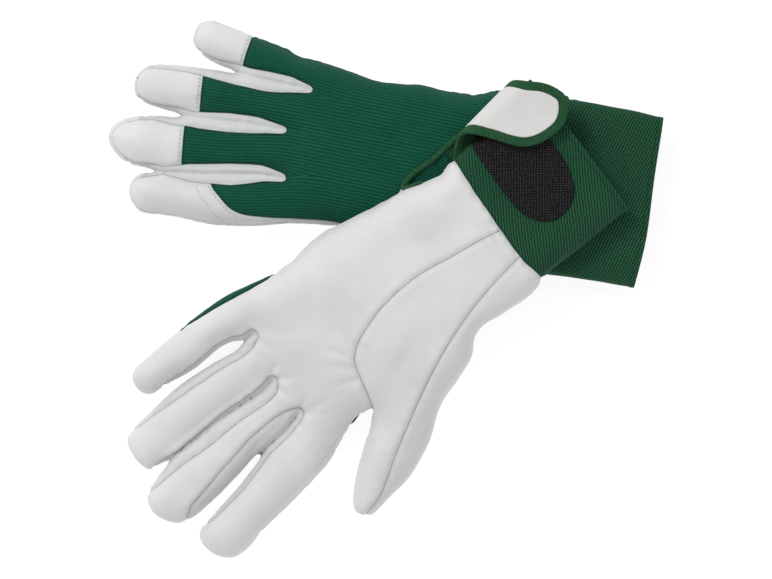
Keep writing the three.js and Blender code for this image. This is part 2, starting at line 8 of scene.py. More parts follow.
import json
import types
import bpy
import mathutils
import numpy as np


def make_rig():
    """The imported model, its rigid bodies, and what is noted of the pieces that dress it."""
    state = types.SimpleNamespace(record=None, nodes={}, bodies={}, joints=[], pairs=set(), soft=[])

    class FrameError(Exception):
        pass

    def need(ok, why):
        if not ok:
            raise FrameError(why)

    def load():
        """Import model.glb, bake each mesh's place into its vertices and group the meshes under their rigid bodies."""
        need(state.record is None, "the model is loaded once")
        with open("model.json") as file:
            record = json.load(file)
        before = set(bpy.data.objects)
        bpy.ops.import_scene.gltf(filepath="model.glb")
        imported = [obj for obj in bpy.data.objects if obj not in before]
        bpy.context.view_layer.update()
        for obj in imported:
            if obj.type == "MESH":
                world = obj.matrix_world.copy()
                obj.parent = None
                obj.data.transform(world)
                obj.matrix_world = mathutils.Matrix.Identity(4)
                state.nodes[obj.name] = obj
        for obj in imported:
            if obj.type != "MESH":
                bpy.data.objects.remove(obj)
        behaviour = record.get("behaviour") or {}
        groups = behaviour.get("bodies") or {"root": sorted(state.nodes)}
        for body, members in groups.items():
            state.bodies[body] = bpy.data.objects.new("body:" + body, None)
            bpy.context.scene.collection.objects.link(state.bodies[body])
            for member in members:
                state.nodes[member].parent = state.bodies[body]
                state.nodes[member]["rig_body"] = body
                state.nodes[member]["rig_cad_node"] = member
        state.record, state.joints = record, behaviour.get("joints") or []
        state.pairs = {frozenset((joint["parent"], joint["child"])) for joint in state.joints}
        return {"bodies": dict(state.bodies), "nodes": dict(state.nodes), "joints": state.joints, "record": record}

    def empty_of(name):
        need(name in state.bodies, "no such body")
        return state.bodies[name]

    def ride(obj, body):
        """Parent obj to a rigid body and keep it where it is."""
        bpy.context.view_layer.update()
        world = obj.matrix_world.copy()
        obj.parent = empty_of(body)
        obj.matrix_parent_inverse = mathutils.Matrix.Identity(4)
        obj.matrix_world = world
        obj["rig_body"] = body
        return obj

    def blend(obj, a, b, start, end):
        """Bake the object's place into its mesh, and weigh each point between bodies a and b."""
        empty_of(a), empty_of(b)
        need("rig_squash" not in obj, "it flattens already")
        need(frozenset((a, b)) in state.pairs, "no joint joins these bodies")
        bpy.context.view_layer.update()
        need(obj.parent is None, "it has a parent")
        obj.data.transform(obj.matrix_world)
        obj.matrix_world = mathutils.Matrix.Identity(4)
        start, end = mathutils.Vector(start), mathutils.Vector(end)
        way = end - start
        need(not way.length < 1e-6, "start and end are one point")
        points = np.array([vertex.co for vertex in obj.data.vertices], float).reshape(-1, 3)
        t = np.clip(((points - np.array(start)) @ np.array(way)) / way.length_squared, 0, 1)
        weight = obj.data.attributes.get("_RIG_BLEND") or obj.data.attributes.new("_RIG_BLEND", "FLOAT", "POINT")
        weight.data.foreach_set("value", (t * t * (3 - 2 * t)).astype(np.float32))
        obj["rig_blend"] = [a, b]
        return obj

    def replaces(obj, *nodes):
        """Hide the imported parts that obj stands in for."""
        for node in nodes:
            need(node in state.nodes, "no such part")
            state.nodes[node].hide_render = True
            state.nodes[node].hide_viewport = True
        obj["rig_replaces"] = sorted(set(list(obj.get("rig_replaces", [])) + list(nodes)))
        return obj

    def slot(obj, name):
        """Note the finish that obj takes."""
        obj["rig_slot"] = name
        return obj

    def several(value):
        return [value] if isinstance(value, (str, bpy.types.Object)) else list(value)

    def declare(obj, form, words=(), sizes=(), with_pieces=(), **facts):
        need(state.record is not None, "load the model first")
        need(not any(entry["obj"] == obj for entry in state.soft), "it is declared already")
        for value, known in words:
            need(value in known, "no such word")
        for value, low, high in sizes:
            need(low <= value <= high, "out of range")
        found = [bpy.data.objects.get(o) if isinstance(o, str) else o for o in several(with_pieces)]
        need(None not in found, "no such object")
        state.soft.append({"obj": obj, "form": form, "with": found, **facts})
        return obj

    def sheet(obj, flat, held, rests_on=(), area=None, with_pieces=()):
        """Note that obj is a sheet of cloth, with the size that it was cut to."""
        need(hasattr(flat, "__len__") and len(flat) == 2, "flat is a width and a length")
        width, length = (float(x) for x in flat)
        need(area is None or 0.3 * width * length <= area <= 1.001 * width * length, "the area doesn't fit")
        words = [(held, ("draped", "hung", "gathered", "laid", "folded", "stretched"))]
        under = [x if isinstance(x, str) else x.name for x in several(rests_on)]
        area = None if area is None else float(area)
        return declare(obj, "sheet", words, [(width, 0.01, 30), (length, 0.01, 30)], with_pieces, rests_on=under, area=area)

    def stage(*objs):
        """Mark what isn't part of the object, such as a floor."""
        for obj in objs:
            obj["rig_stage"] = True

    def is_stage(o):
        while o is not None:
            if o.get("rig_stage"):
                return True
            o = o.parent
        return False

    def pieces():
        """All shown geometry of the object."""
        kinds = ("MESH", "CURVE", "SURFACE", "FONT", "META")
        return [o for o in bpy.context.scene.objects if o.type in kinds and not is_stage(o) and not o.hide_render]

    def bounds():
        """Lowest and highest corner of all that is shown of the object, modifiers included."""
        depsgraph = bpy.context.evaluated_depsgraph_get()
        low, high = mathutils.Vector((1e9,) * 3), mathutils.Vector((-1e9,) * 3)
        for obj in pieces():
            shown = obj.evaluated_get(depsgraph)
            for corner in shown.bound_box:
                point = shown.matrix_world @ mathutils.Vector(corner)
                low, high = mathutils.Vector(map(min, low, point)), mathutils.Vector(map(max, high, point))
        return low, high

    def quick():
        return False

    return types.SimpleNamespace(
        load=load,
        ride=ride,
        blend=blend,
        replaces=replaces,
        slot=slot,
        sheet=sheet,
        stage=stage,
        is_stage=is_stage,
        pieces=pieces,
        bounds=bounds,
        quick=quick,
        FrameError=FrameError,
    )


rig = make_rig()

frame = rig.load()

import json
import math

import bpy
import numpy as np
from mathutils import Vector, kdtree
from mathutils.bvhtree import BVHTree

CAD_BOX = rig.bounds()
MM = 0.001
ORIGIN = np.array([-0.006, 1.676, 0.0])  # where the outlines' own origin lies in the model's frame
CELL = 1.2 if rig.quick() else 0.85  # of the net that makes a glove's surface
FINE_CELL = 0.7 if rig.quick() else 0.5  # of the net that makes a strap's pieces and a patch
PLAN_PITCH = 0.6  # of the grid that holds a glove's thickness and height
CLOTH_UNIT = 10.0  # millimetres of cloth in one unit of the texture map

# ---- Driving values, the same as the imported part's ----
LIFT = 19.0  # how far the left glove is raised where it lies wholly on the right one
DRAPE_THROUGH = np.array([-23.3, 30.5])
DRAPE_NORMAL = np.array([-0.23, -0.973])
DRAPE_START, DRAPE_END = 24.0, 120.0
HAND_HALF, CUFF_HALF = 9.0, 6.0  # half of the full thickness
EDGE_FALL = 11.0  # how far in from the outline a glove has nearly its full thickness
SIDE_FALL = 8.5  # the same along the sides of the fingers
CUFF_FALL = 5.0  # and along the cuff
VALLEY_RISE, VALLEY_TOP = 2.5, 6.8  # between touching fingers: slope, and half height at the brim
CUFF_MIDDLE = 11.5  # height of the middle of the right glove's cuff

# ---- Camera ----
CAMERA_HEIGHT = 1.8
PICTURE_WIDTH = 0.37056
camera_data = bpy.data.cameras.new("camera")
camera_data.sensor_width = 36.0
camera_data.lens = 36.0 * (CAMERA_HEIGHT - 0.02) / PICTURE_WIDTH
camera_data.clip_end = 10.0
camera = bpy.data.objects.new("camera", camera_data)
camera.location = (0.0002, 0.0012, CAMERA_HEIGHT)
bpy.context.scene.collection.objects.link(camera)
bpy.context.scene.camera = camera

# ---- Outlines ----
# A run is (sewn strip or None, [(x, y, palm seam, back seam), ...]). A seam is given by its distance in from
# the outline, as seen from the palm or from the back. With no strip there is one seam, which is on the palm
# side if its distance is positive.
LR, RM, MI, SLIT = "fourchette_little_ring", "fourchette_ring_middle", "fourchette_middle_index", "slit"
STRIPS = (LR, RM, MI)


def single(points, seam):
    seams = seam if isinstance(seam, list) else [seam] * len(points)
    return (None, [(x, y, s, -s) for (x, y), s in zip(points, seams)])


def strip(piece, points, palm, back):
    palms = palm if isinstance(palm, list) else [palm] * len(points)
    backs = back if isinstance(back, list) else [back] * len(points)
    return (piece, [(x, y, p, b) for (x, y), p, b in zip(points, palms, backs)])


LEFT_RUNS = [
    strip(SLIT, [(32.4, 61.9), (29.9, 59.1), (27.1, 54.7), (21.7, 52.1), (12.0, 47.6)], 0.3, 0.3),
    single([(3.5, 43.5), (-20.1, 31.7), (-30.5, 26.4), (-38.3, 19.9), (-45.7, 12.4), (-53.7, 6.9)],
        [-0.6, -1.4, -1.4, -1.4, -0.9, 0.1]),
    single([(-65.7, 1.7), (-74.0, -2.5), (-87.6, -11.3), (-101.0, -21.7), (-116.6, -34.8), (-120.8, -38.9)],
        [2.0, 2.2, 1.2, -0.1, -1.2, -1.5]),
    single([(-122.2, -43.0), (-118.7, -49.3), (-113.5, -50.6)], -1.5),
    strip(LR, [(-104.8, -45.4), (-91.4, -37.8), (-79.4, -28.4), (-67.9, -23.0)], [0.5, 1.2, 1.5, 1.5], 3.0),
    strip(LR, [(-63.6, -21.8)], 2.0, 3.0),
    strip(LR, [(-65.9, -25.8), (-82.0, -35.4), (-100.8, -48.8), (-118.6, -64.1)], [3.5, 4.0, 3.5, 1.5],
        3.0),
    single([(-124.6, -72.2), (-123.9, -77.4), (-119.8, -83.7), (-114.5, -87.4)], -1.5),
    strip(RM,
        [(-110.6, -85.7), (-104.4, -80.9), (-91.2, -70.3), (-82.8, -63.4), (-66.0, -52.3), (-57.4, -45.6)],
        [0.5, 0.8, 1.0, 1.0, 1.0, 1.5], 3.0),
    strip(RM, [(-54.5, -43.9)], 2.0, 3.0),
    strip(RM, [(-55.9, -48.2), (-73.5, -60.0), (-90.0, -73.3), (-103.2, -83.8), (-111.4, -92.9)],
        [4.0, 5.0, 5.0, 4.0, 2.5], 3.0),
    single([(-115.1, -101.3), (-112.5, -107.6), (-105.2, -112.3), (-97.9, -112.8)], -1.5),
    strip(MI, [(-90.6, -108.6), (-74.0, -93.0), (-59.4, -77.4), (-48.7, -66.5)], [4.5, 7.0, 7.5, 6.0], 3.0),
    strip(MI, [(-42.5, -60.7)], 3.0, 3.0),
    strip(MI, [(-45.8, -67.9), (-59.4, -80.4), (-70.6, -95.3), (-83.8, -110.2)], [2.0, 2.5, 2.0, 1.0], 3.0),
    single([(-89.6, -117.8), (-88.6, -123.1), (-82.3, -128.4), (-74.2, -129.8), (-67.7, -126.3)], -1.5),
    single([(-58.6, -115.9), (-43.6, -101.0), (-27.6, -84.0), (-19.0, -68.9), (-11.5, -60.4)], 0.3),
    single([(-6.7, -58.3)], -0.5),
    single([(-7.2, -66.8), (-10.4, -76.5), (-14.2, -90.4), (-15.7, -101.0), (-14.7, -107.5)], -1.5),
    single([(-10.4, -109.7), (-5.0, -108.6)], -1.5),
    single([(4.6, -97.9), (15.3, -82.9), (22.8, -67.9), (28.2, -52.9), (35.7, -42.2), (41.0, -32.5),
        (43.2, -22.9), (46.8, -18.0), (56.0, -12.2), (66.5, -5.5), (72.7, 0.2)], -1.5),
    single([(75.1, 4.9), (77.5, 7.1), (98.2, 23.3), (116.4, 38.0), (131.0, 49.5)], 0.0),
    strip(SLIT, [(88.0, 107.0), (73.7, 95.3), (60.0, 84.3), (45.0, 72.3)], 0.3, 0.3),
]
RIGHT_RUNS = [
    strip(SLIT, [(80.4, 91.4), (69.4, 94.0), (62.0, 95.6)], 0.3, 0.3),
    single([(53.0, 95.6), (46.9, 94.2), (42.5, 93.7), (36.0, 94.7), (27.6, 95.8), (17.8, 98.3), (8.4, 98.7),
        (-2.6, 99.9), (-9.0, 101.7), (-18.5, 105.3), (-27.9, 108.6)], 0.2),
    single([(-42.2, 112.8), (-47.9, 116.2), (-64.0, 122.2), (-75.4, 126.6)], [0.2, 0.2, 0.0, -0.5]),
    single([(-84.9, 129.5), (-89.8, 127.9), (-93.0, 122.2), (-91.1, 115.7)], -0.8),
    strip(LR, [(-85.9, 111.5), (-78.5, 107.7), (-69.8, 104.9), (-56.4, 101.4), (-45.8, 98.9)], 2.0,
        [0.6, 1.5, 2.6, 3.2, 3.2]),
    strip(LR, [(-36.5, 95.8)], 2.0, 2.0),
    strip(LR,
        [(-46.8, 96.6), (-56.9, 98.6), (-70.7, 102.5), (-81.1, 105.1), (-94.4, 107.2), (-108.6, 108.6)],
        2.0, [2.8, 3.8, 4.4, 4.0, 2.6, 2.2]),
    single([(-114.5, 108.2), (-119.1, 105.7), (-121.8, 100.1), (-120.5, 92.9)], [-1.7, -1.6, -1.4, -1.0]),
    strip(RM, [(-114.3, 89.1), (-108.6, 87.2), (-101.0, 85.5), (-89.0, 83.7), (-75.4, 82.1), (-61.2, 80.0)],
        2.0, [0.6, 1.0, 1.5, 2.2, 2.8, 2.8]),
    strip(RM, [(-49.2, 76.3)], 2.0, 2.0),
    strip(RM, [(-61.2, 77.0), (-75.4, 78.8), (-89.0, 80.5), (-100.6, 82.2), (-111.5, 83.4)], 2.0,
        [2.8, 3.6, 3.6, 3.0, 1.5]),
    single([(-119.1, 83.3), (-126.5, 81.8), (-132.3, 77.8), (-133.8, 71.8), (-130.5, 65.4), (-126.7, 62.1)],
        [-1.7, -1.6, -1.5, -1.5, -1.5, -1.5]),
    strip(MI, [(-121.0, 59.7), (-109.6, 57.9), (-94.4, 56.6), (-74.6, 56.1), (-59.3, 55.8)], 2.0,
        [0.8, 1.8, 3.4, 3.9, 3.4]),
    strip(MI, [(-49.8, 53.4)], 2.0, 2.0),
    strip(MI, [(-59.3, 53.2), (-74.6, 53.8), (-94.4, 54.2), (-107.0, 54.9)], 2.0, [2.4, 4.0, 3.0, 1.0]),
    single([(-117.8, 55.6), (-122.2, 53.4), (-124.3, 47.4), (-122.9, 42.0), (-118.8, 37.4)],
        [-1.4, -1.2, -0.9, -0.8, -0.8]),
    single([(-114.0, 36.3), (-108.6, 36.0), (-99.1, 34.6), (-84.9, 31.2), (-75.4, 30.5), (-61.2, 30.5),
        (-46.9, 31.5), (-32.4, 31.1)], -0.5),
    single([(-23.3, 29.6)], -0.5),
    single([(-34.8, 20.4), (-44.0, 11.0), (-52.0, 1.5), (-59.0, -9.0), (-60.0, -17.0), (-53.0, -21.5)],
        0.5),
    single([(-44.0, -18.5), (-33.0, -11.5), (-17.0, 0.0), (-1.0, 6.5), (12.0, 9.0), (34.0, 10.8),
        (52.0, 9.8)], 0.5),
    single([(66.0, 8.2), (76.0, 6.8), (87.4, 5.3), (118.8, 0.9), (138.0, -1.8)], 0.0),
    strip(SLIT, [(151.0, 76.5), (133.4, 80.7), (115.9, 85.0), (96.9, 88.6)], 0.3, 0.3),
]

# Open lines that seams follow. Each is carried on straight past both of its ends.
LEFT_LINES = {
    "wrist": [(25.0, 74.0), (32.3, 62.2), (40.6, 49.2), (55.0, 28.2), (64.1, 15.4), (75.1, 4.9),
        (86.0, -6.0)],
    "end": [(127.0, 24.0), (116.4, 38.0), (86.4, 77.8), (73.7, 95.3), (62.0, 111.0)],
    "palm_seam": [(66.0, 36.0), (54.4, 27.6), (47.4, 24.2), (31.3, 15.1), (15.3, 6.0), (3.5, -3.6),
        (-5.0, -13.2), (-11.5, -22.9), (-14.2, -29.3), (-14.7, -35.8), (-11.5, -44.3), (-8.3, -51.8),
        (-6.5, -58.5), (-12.0, -74.0), (-30.0, -118.0)],
    "side_seam": [(72.0, 22.0), (64.0, 15.1), (57.1, 8.2), (47.4, -2.5), (36.7, -16.5), (26.0, -33.6),
        (16.4, -52.9), (9.9, -67.9), (4.6, -80.7), (0.8, -92.5), (-2.9, -101.0), (-8.3, -108.0),
        (-14.0, -118.0)],
    "back_seam": [(82.0, 14.0), (70.0, 4.0), (54.0, -6.0), (34.0, -18.0), (16.0, -32.0), (2.0, -46.0),
        (-6.5, -58.5), (-12.0, -74.0), (-30.0, -118.0)],
    "guard": [(-85.0, -78.0), (-66.1, -90.2), (-59.0, -91.0), (-48.2, -92.4), (-37.5, -86.5),
        (-24.0, -73.5), (-10.4, -58.9), (0.0, -46.0)],
}
RIGHT_LINES = {
    "wrist": [(58.0, 100.0), (64.0, 95.5), (74.0, 78.0), (74.0, 46.0), (68.0, 14.0), (64.0, 0.0)],
    "end": [(117.0, -10.0), (120.1, 2.4), (125.4, 24.3), (129.2, 52.8), (133.4, 80.7), (134.5, 92.0)],
    "palm_seam": [(84.0, 40.0), (70.0, 41.0), (44.0, 45.0), (14.0, 47.0), (-9.0, 43.0), (-20.0, 36.0),
        (-24.0, 29.6), (-45.0, 22.5), (-82.0, 8.0)],
    "side_seam": [(84.0, 22.0), (68.0, 22.0), (42.0, 21.0), (14.0, 17.0), (-12.0, 9.0), (-33.0, -5.0),
        (-51.0, -15.0), (-66.0, -26.0)],
    "back_seam": [(90.0, 6.0), (66.0, 9.5), (44.0, 16.0), (20.0, 21.0), (-2.0, 25.0), (-23.0, 29.6),
        (-45.0, 22.5), (-82.0, 8.0)],
    "guard": [(-84.0, 62.0), (-84.0, 50.2), (-80.2, 44.5), (-75.4, 38.8), (-69.7, 35.6), (-56.4, 33.8),
        (-42.2, 33.0), (-23.2, 31.0), (-8.0, 22.0)],
}
# Finger spines, from the knuckle to the tip, and how long each leather fingertip cap is.
LEFT_SPINES = {
    "little": [(-40, 5), (-59, -7), (-77, -19), (-95.6, -30.3), (-119.5, -46.5)],
    "ring": [(-50, -26), (-74.2, -44.9), (-93.5, -58.6), (-119.8, -80.5)],
    "middle": [(-40, -46), (-65.2, -67.6), (-81.5, -82.6), (-107.8, -106.8)],
    "index": [(-12, -44), (-30.5, -65), (-48.5, -86.2), (-61.8, -101.9), (-83, -128.4)],
}
RIGHT_SPINES = {
    "little": [(-14, 94), (-35, 101.5), (-65, 112.6), (-93.2, 121.6)],
    "ring": [(-36, 86), (-58, 90.0), (-74.6, 93.4), (-121.9, 98.2)],
    "middle": [(-36, 64.5), (-62, 66.4), (-79.4, 68), (-133.4, 72.2)],
    "index": [(-24, 42.5), (-62, 42.6), (-81.8, 43.6), (-124, 47)],
}
GUARD_LENGTH = 112.0
CAPS = {"little": 27.5, "ring": 33.5, "middle": 36.0}
# Where neighbouring fingers press together: the crotch, how far from it they touch, how far of that is an
# open crevice, and half the height that is left in the crevice and in the touching part.
GAPS = {
    "left": {LR: (-63.6, -21.8, 8.0, 99.0, 1.6, 1.6), RM: (-54.5, -43.9, 64.0, 34.0, 1.6, 3.0),
        MI: (-42.5, -60.7, 27.0, 99.0, 1.6, 1.6)},
    "right": {LR: (-36.5, 95.8, 36.0, 0.0, 4.2, 4.2), RM: (-49.2, 76.3, 50.0, 0.0, 4.0, 4.0),
        MI: (-49.8, 53.4, 62.0, 0.0, 3.4, 3.4)},
}
# Soft creases in the upper palm: (start, end, depth, half width).
LEFT_CREASES = [
    ((-63, -22), (-52, -31), 0.45, 1.6), ((-62, -24), (-56, -38), 0.5, 1.8),
    ((-55, -41), (-52, -34), 0.45, 1.5), ((-53, -43), (-41, -42), 0.4, 1.6),
    ((-53, -46), (-43, -54), 0.45, 1.7), ((-42, -59), (-38, -50), 0.4, 1.6),
    ((-41, -60), (-26, -58), 0.4, 1.8), ((-41, -59), (-22, -49), 0.35, 1.8),
    ((-58, -19), (-42, -22), 0.3, 2.0), ((-16, -35), (-32, -28), 0.4, 1.8),
    ((-15, -39), (-34, -38), 0.45, 2.2), ((-13, -44), (-28, -49), 0.35, 2.0),
    ((-12, -30), (-26, -18), 0.3, 2.2), ((2, -40), (20, -30), 0.35, 4.0), ((6, -36), (14, -22), 0.4, 3.5),
    ((58, 30), (40, 30), 0.35, 2.4), ((46, 46), (28, 40), 0.35, 2.6), ((34, 58), (18, 46), 0.4, 2.4),
    ((70, 12), (56, 10), 0.4, 2.2), ((76, 3), (60, -5), 0.35, 2.4), ((24, 22), (0, 16), 0.25, 3.5),
    ((-72, -30), (-68, -40), 0.3, 2.4), ((-88, -42), (-84, -50), 0.3, 2.4),
    ((-66, -58), (-60, -66), 0.25, 2.4), ((-84, -72), (-77, -82), 0.3, 2.5),
    ((-48, -78), (-41, -88), 0.3, 2.5), ((-62, -94), (-52, -104), 0.3, 2.5),
]
RIGHT_CREASES = [
    ((-36, 95), (-24, 92), 0.4, 1.8), ((-49, 76), (-36, 78), 0.4, 1.8), ((-49, 53), (-36, 56), 0.4, 1.8),
    ((-50, 52), (-38, 44), 0.35, 2.0), ((-24, 31), (-8, 38), 0.35, 2.4), ((62, 90), (44, 84), 0.5, 2.6),
    ((64, 70), (46, 68), 0.35, 3.0), ((58, 42), (40, 44), 0.3, 3.0), ((-76, 96), (-74, 88), 0.3, 2.5),
    ((-80, 72), (-78, 62), 0.3, 2.5), ((-70, 48), (-68, 38), 0.3, 2.5),
]

# ---- Curves and fields in the plan ----
OUTLINE_STEP, COARSE_STEP = 0.35, 3.0  # between the samples of an outline, and of a seam line or a spine
FAR = 1e3  # how far a seam line is carried on past its ends
BATCH = 20000  # points measured against a line at a time


def unit(vector):
    return vector / np.linalg.norm(vector)


def unit_rows(vectors):
    return vectors / np.linalg.norm(vectors, axis=1)[:, None]


def hump(x):
    """1 where x is 0, and nearly 0 where it is more than 2 either way."""
    return np.exp(-(x**2))


def path_arc(path):
    """How far along the path each of its points is."""
    return np.concatenate([[0.0], np.cumsum(np.linalg.norm(np.diff(path, axis=0), axis=1))])


def smoothstep(low, high, x):
    t = np.clip((x - low) / (high - low), 0.0, 1.0)
    return t * t * (3.0 - 2.0 * t)


def smooth_curve(points, closed, step):
    """A centripetal Catmull-Rom curve through the points, and where each sample lies between the points."""
    p = np.asarray(points, float)
    if not closed:
        p = np.vstack([2 * p[0] - p[1], p, 2 * p[-1] - p[-2]])
    count = len(p)
    samples, places = [], []
    first, last = (0, count) if closed else (1, count - 2)
    for i in range(first, last):
        a, b, c, d = (p[(i + k) % count] for k in (-1, 0, 1, 2))
        t0 = 0.0
        t1 = t0 + max(np.linalg.norm(b - a), 1e-6) ** 0.5
        t2 = t1 + max(np.linalg.norm(c - b), 1e-6) ** 0.5
        t3 = t2 + max(np.linalg.norm(d - c), 1e-6) ** 0.5
        steps = max(2, math.ceil(np.linalg.norm(c - b) / step))
        share = np.arange(steps) / steps
        t = (t1 + (t2 - t1) * share)[:, None]
        a1 = (t1 - t) / (t1 - t0) * a + (t - t0) / (t1 - t0) * b
        a2 = (t2 - t) / (t2 - t1) * b + (t - t1) / (t2 - t1) * c
        a3 = (t3 - t) / (t3 - t2) * c + (t - t2) / (t3 - t2) * d
        b1 = (t2 - t) / (t2 - t0) * a1 + (t - t0) / (t2 - t0) * a2
        b2 = (t3 - t) / (t3 - t1) * a2 + (t - t1) / (t3 - t1) * a3
        samples.append((t2 - t) / (t2 - t1) * b1 + (t - t1) / (t2 - t1) * b2)
        places.append(i - first + share)
    if not closed:
        samples.append(p[-2:-1])
        places.append(np.array([last - first], float))
    return np.vstack(samples), np.concatenate(places)


def side_of_line(line, points):
    """Distance of the points from an open line, positive on its left."""
    line, _ = smooth_curve(line, False, COARSE_STEP)
    start, step = line[:-1], np.diff(line, axis=0)
    length = np.linalg.norm(step, axis=1)
    way = step / length[:, None]
    out = np.empty(len(points))
    low, high = np.zeros(len(length)), length.copy()
    low[0], high[-1] = -FAR, FAR
    for i in range(0, len(points), BATCH):
        rel = points[i : i + BATCH, None, :] - start[None]
        t = np.clip((rel * way).sum(2), low, high)
        gap = rel - t[:, :, None] * way
        far = (gap**2).sum(2)
        best = far.argmin(1)
        rows = np.arange(len(best))
        cross = way[best, 0] * gap[rows, best, 1] - way[best, 1] * gap[rows, best, 0]
        out[i : i + BATCH] = np.sqrt(far[rows, best]) * np.where(cross >= 0, 1.0, -1.0)
    return out


def blurred(field, sigma):
    """A Gaussian blur of a grid, with sigma in cells."""
    reach = int(3 * sigma + 1)
    kernel = np.exp(-0.5 * (np.arange(-reach, reach + 1) / sigma) ** 2)
    kernel /= kernel.sum()
    for axis in (0, 1):
        field = np.moveaxis(field, axis, 0)
        padded = np.concatenate([field[:1].repeat(reach, 0), field, field[-1:].repeat(reach, 0)])
        field = sum(k * padded[i : i + len(field)] for i, k in enumerate(kernel))
        field = np.moveaxis(field, 0, axis)
    return field


class Grid:
    """Values on a square grid over the plan, read between its nodes."""

    def __init__(self, low, high, pitch):
        self.low, self.pitch = np.asarray(low, float), pitch
        self.shape = tuple(int(math.ceil(s)) + 1 for s in (np.asarray(high) - self.low) / pitch)
        self.x = self.low[0] + pitch * np.arange(self.shape[0])
        self.y = self.low[1] + pitch * np.arange(self.shape[1])

    def points(self):
        return np.stack(np.meshgrid(self.x, self.y, indexing="ij"), -1).reshape(-1, 2)

    def read(self, field, points):
        """The field at the points, and its slope along X and Y."""
        at = (points - self.low) / self.pitch
        cell = np.clip(np.floor(at).astype(int), 0, np.array(self.shape) - 2)
        fx, fy = (np.clip(at - cell, 0.0, 1.0)).T
        i, j = cell.T
        a, b, c, d = field[i, j], field[i + 1, j], field[i, j + 1], field[i + 1, j + 1]
        value = a * (1 - fx) * (1 - fy) + b * fx * (1 - fy) + c * (1 - fx) * fy + d * fx * fy
        slope_x = ((b - a) * (1 - fy) + (d - c) * fy) / self.pitch
        slope_y = ((c - a) * (1 - fx) + (d - b) * fx) / self.pitch
        return value, slope_x, slope_y


class Outline:
    """A glove's closed outline with the seams that run along it."""

    def __init__(self, runs):
        controls = [point for _, points in runs for point in points]
        owners = [piece for piece, points in runs for _ in points]
        xy, place = smooth_curve([(x, y) for x, y, _, _ in controls], True, OUTLINE_STEP)
        self.xy = xy
        self.step = np.roll(xy, -1, axis=0) - xy
        self.arc = np.concatenate([[0.0], np.cumsum(np.linalg.norm(self.step, axis=1))[:-1]])
        before = np.floor(place).astype(int)
        after = (before + 1) % len(controls)
        share = place - before
        seams = np.array([(p, b) for _, _, p, b in controls])
        self.seams = seams[before] * (1 - share[:, None]) + seams[after] * share[:, None]
        names = sorted({o for o in owners if o})
        code = {name: k + 1 for k, name in enumerate(names)}
        code[None] = 0
        self.names = [None] + names
        owned = np.array([code[o] for o in owners])
        self.owner = np.maximum(owned[before], owned[after])
        self.tree = kdtree.KDTree(len(xy))
        for i, (x, y) in enumerate(xy):
            self.tree.insert((x, y, 0.0), i)
        self.tree.balance()

    def nearest(self, points):
        """Distance inward from the outline, negative outside, and the nearest sample."""
        best = np.array([self.tree.find((x, y, 0.0))[1] for x, y in points])
        gap = np.full(len(points), np.inf)
        for shift in (-1, 0):
            k = (best + shift) % len(self.xy)
            rel, step = points - self.xy[k], self.step[k]
            t = np.clip((rel * step).sum(1) / (step**2).sum(1), 0.0, 1.0)
            gap = np.minimum(gap, np.linalg.norm(rel - t[:, None] * step, axis=1))
        return np.where(self.holds(points), gap, -gap), best

    def holds(self, points):
        """Whether each point is inside, by the crossings of a ray along X."""
        inside = np.zeros(len(points), bool)
        ends = self.xy + self.step
        order = np.argsort(points[:, 1])
        y_sorted = points[order, 1]
        low = np.searchsorted(y_sorted, np.minimum(self.xy[:, 1], ends[:, 1]), "left")
        high = np.searchsorted(y_sorted, np.maximum(self.xy[:, 1], ends[:, 1]), "left")
        for (x0, y0), (x1, y1), lo, hi in zip(self.xy, ends, low, high):
            if lo < hi:
                rows = order[lo:hi]
                cross = x0 + (points[rows, 1] - y0) / (y1 - y0) * (x1 - x0)
                inside[rows] ^= points[rows, 0] < cross
        return inside


# ---- Surface of a glove ----


def surface_net(values, low, cell):
    """The surface where values on a box grid change sign, as points and squares facing the negative side."""
    inside = values > 0
    corners = [(i, j, k) for i in (0, 1) for j in (0, 1) for k in (0, 1)]
    nx, ny, nz = (n - 1 for n in values.shape)
    count = np.zeros((nx, ny, nz), np.int8)
    for i, j, k in corners:
        count += inside[i : i + nx, j : j + ny, k : k + nz]
    active = (count > 0) & (count < 8)
    cells = np.argwhere(active)
    number = np.full(active.shape, -1)
    number[active] = np.arange(len(cells))
    total, crossings = np.zeros((len(cells), 3)), np.zeros(len(cells))
    for a in corners:
        for axis in range(3):
            if a[axis]:
                continue
            b = tuple(c + (m == axis) for m, c in enumerate(a))
            fa = values[tuple((cells + a).T)]
            fb = values[tuple((cells + b).T)]
            hit = (fa > 0) != (fb > 0)
            share = fa[hit] / (fa[hit] - fb[hit])
            place = np.tile(np.asarray(a, float), (hit.sum(), 1))
            place[:, axis] += share
            total[hit] += place
            crossings[hit] += 1
    points = np.asarray(low) + cell * (cells + total / crossings[:, None])
    squares = []
    for axis in range(3):
        u, v = (axis + 1) % 3, (axis + 2) % 3
        ahead = [slice(None)] * 3
        behind = [slice(None)] * 3
        ahead[axis], behind[axis] = slice(1, None), slice(None, -1)
        changed = inside[tuple(behind)] != inside[tuple(ahead)]
        at = np.argwhere(changed)
        at = at[(at[:, u] > 0) & (at[:, v] > 0) & (at[:, u] < active.shape[u]) & (at[:, v] < active.shape[v])]
        eu, ev = np.eye(3, dtype=int)[u], np.eye(3, dtype=int)[v]
        ring = [number[tuple((at - eu * p - ev * q).T)] for p, q in ((0, 0), (1, 0), (1, 1), (0, 1))]
        square = np.stack(ring, 1)
        outward = inside[tuple(at.T)]
        square[~outward] = square[~outward][:, ::-1]
        squares.append(square)
    return points, np.vstack(squares)


def has_area(triangles):
    """Whether the three corners of each triangle are different points."""
    a, b, c = triangles.T
    return (a != b) & (b != c) & (a != c)


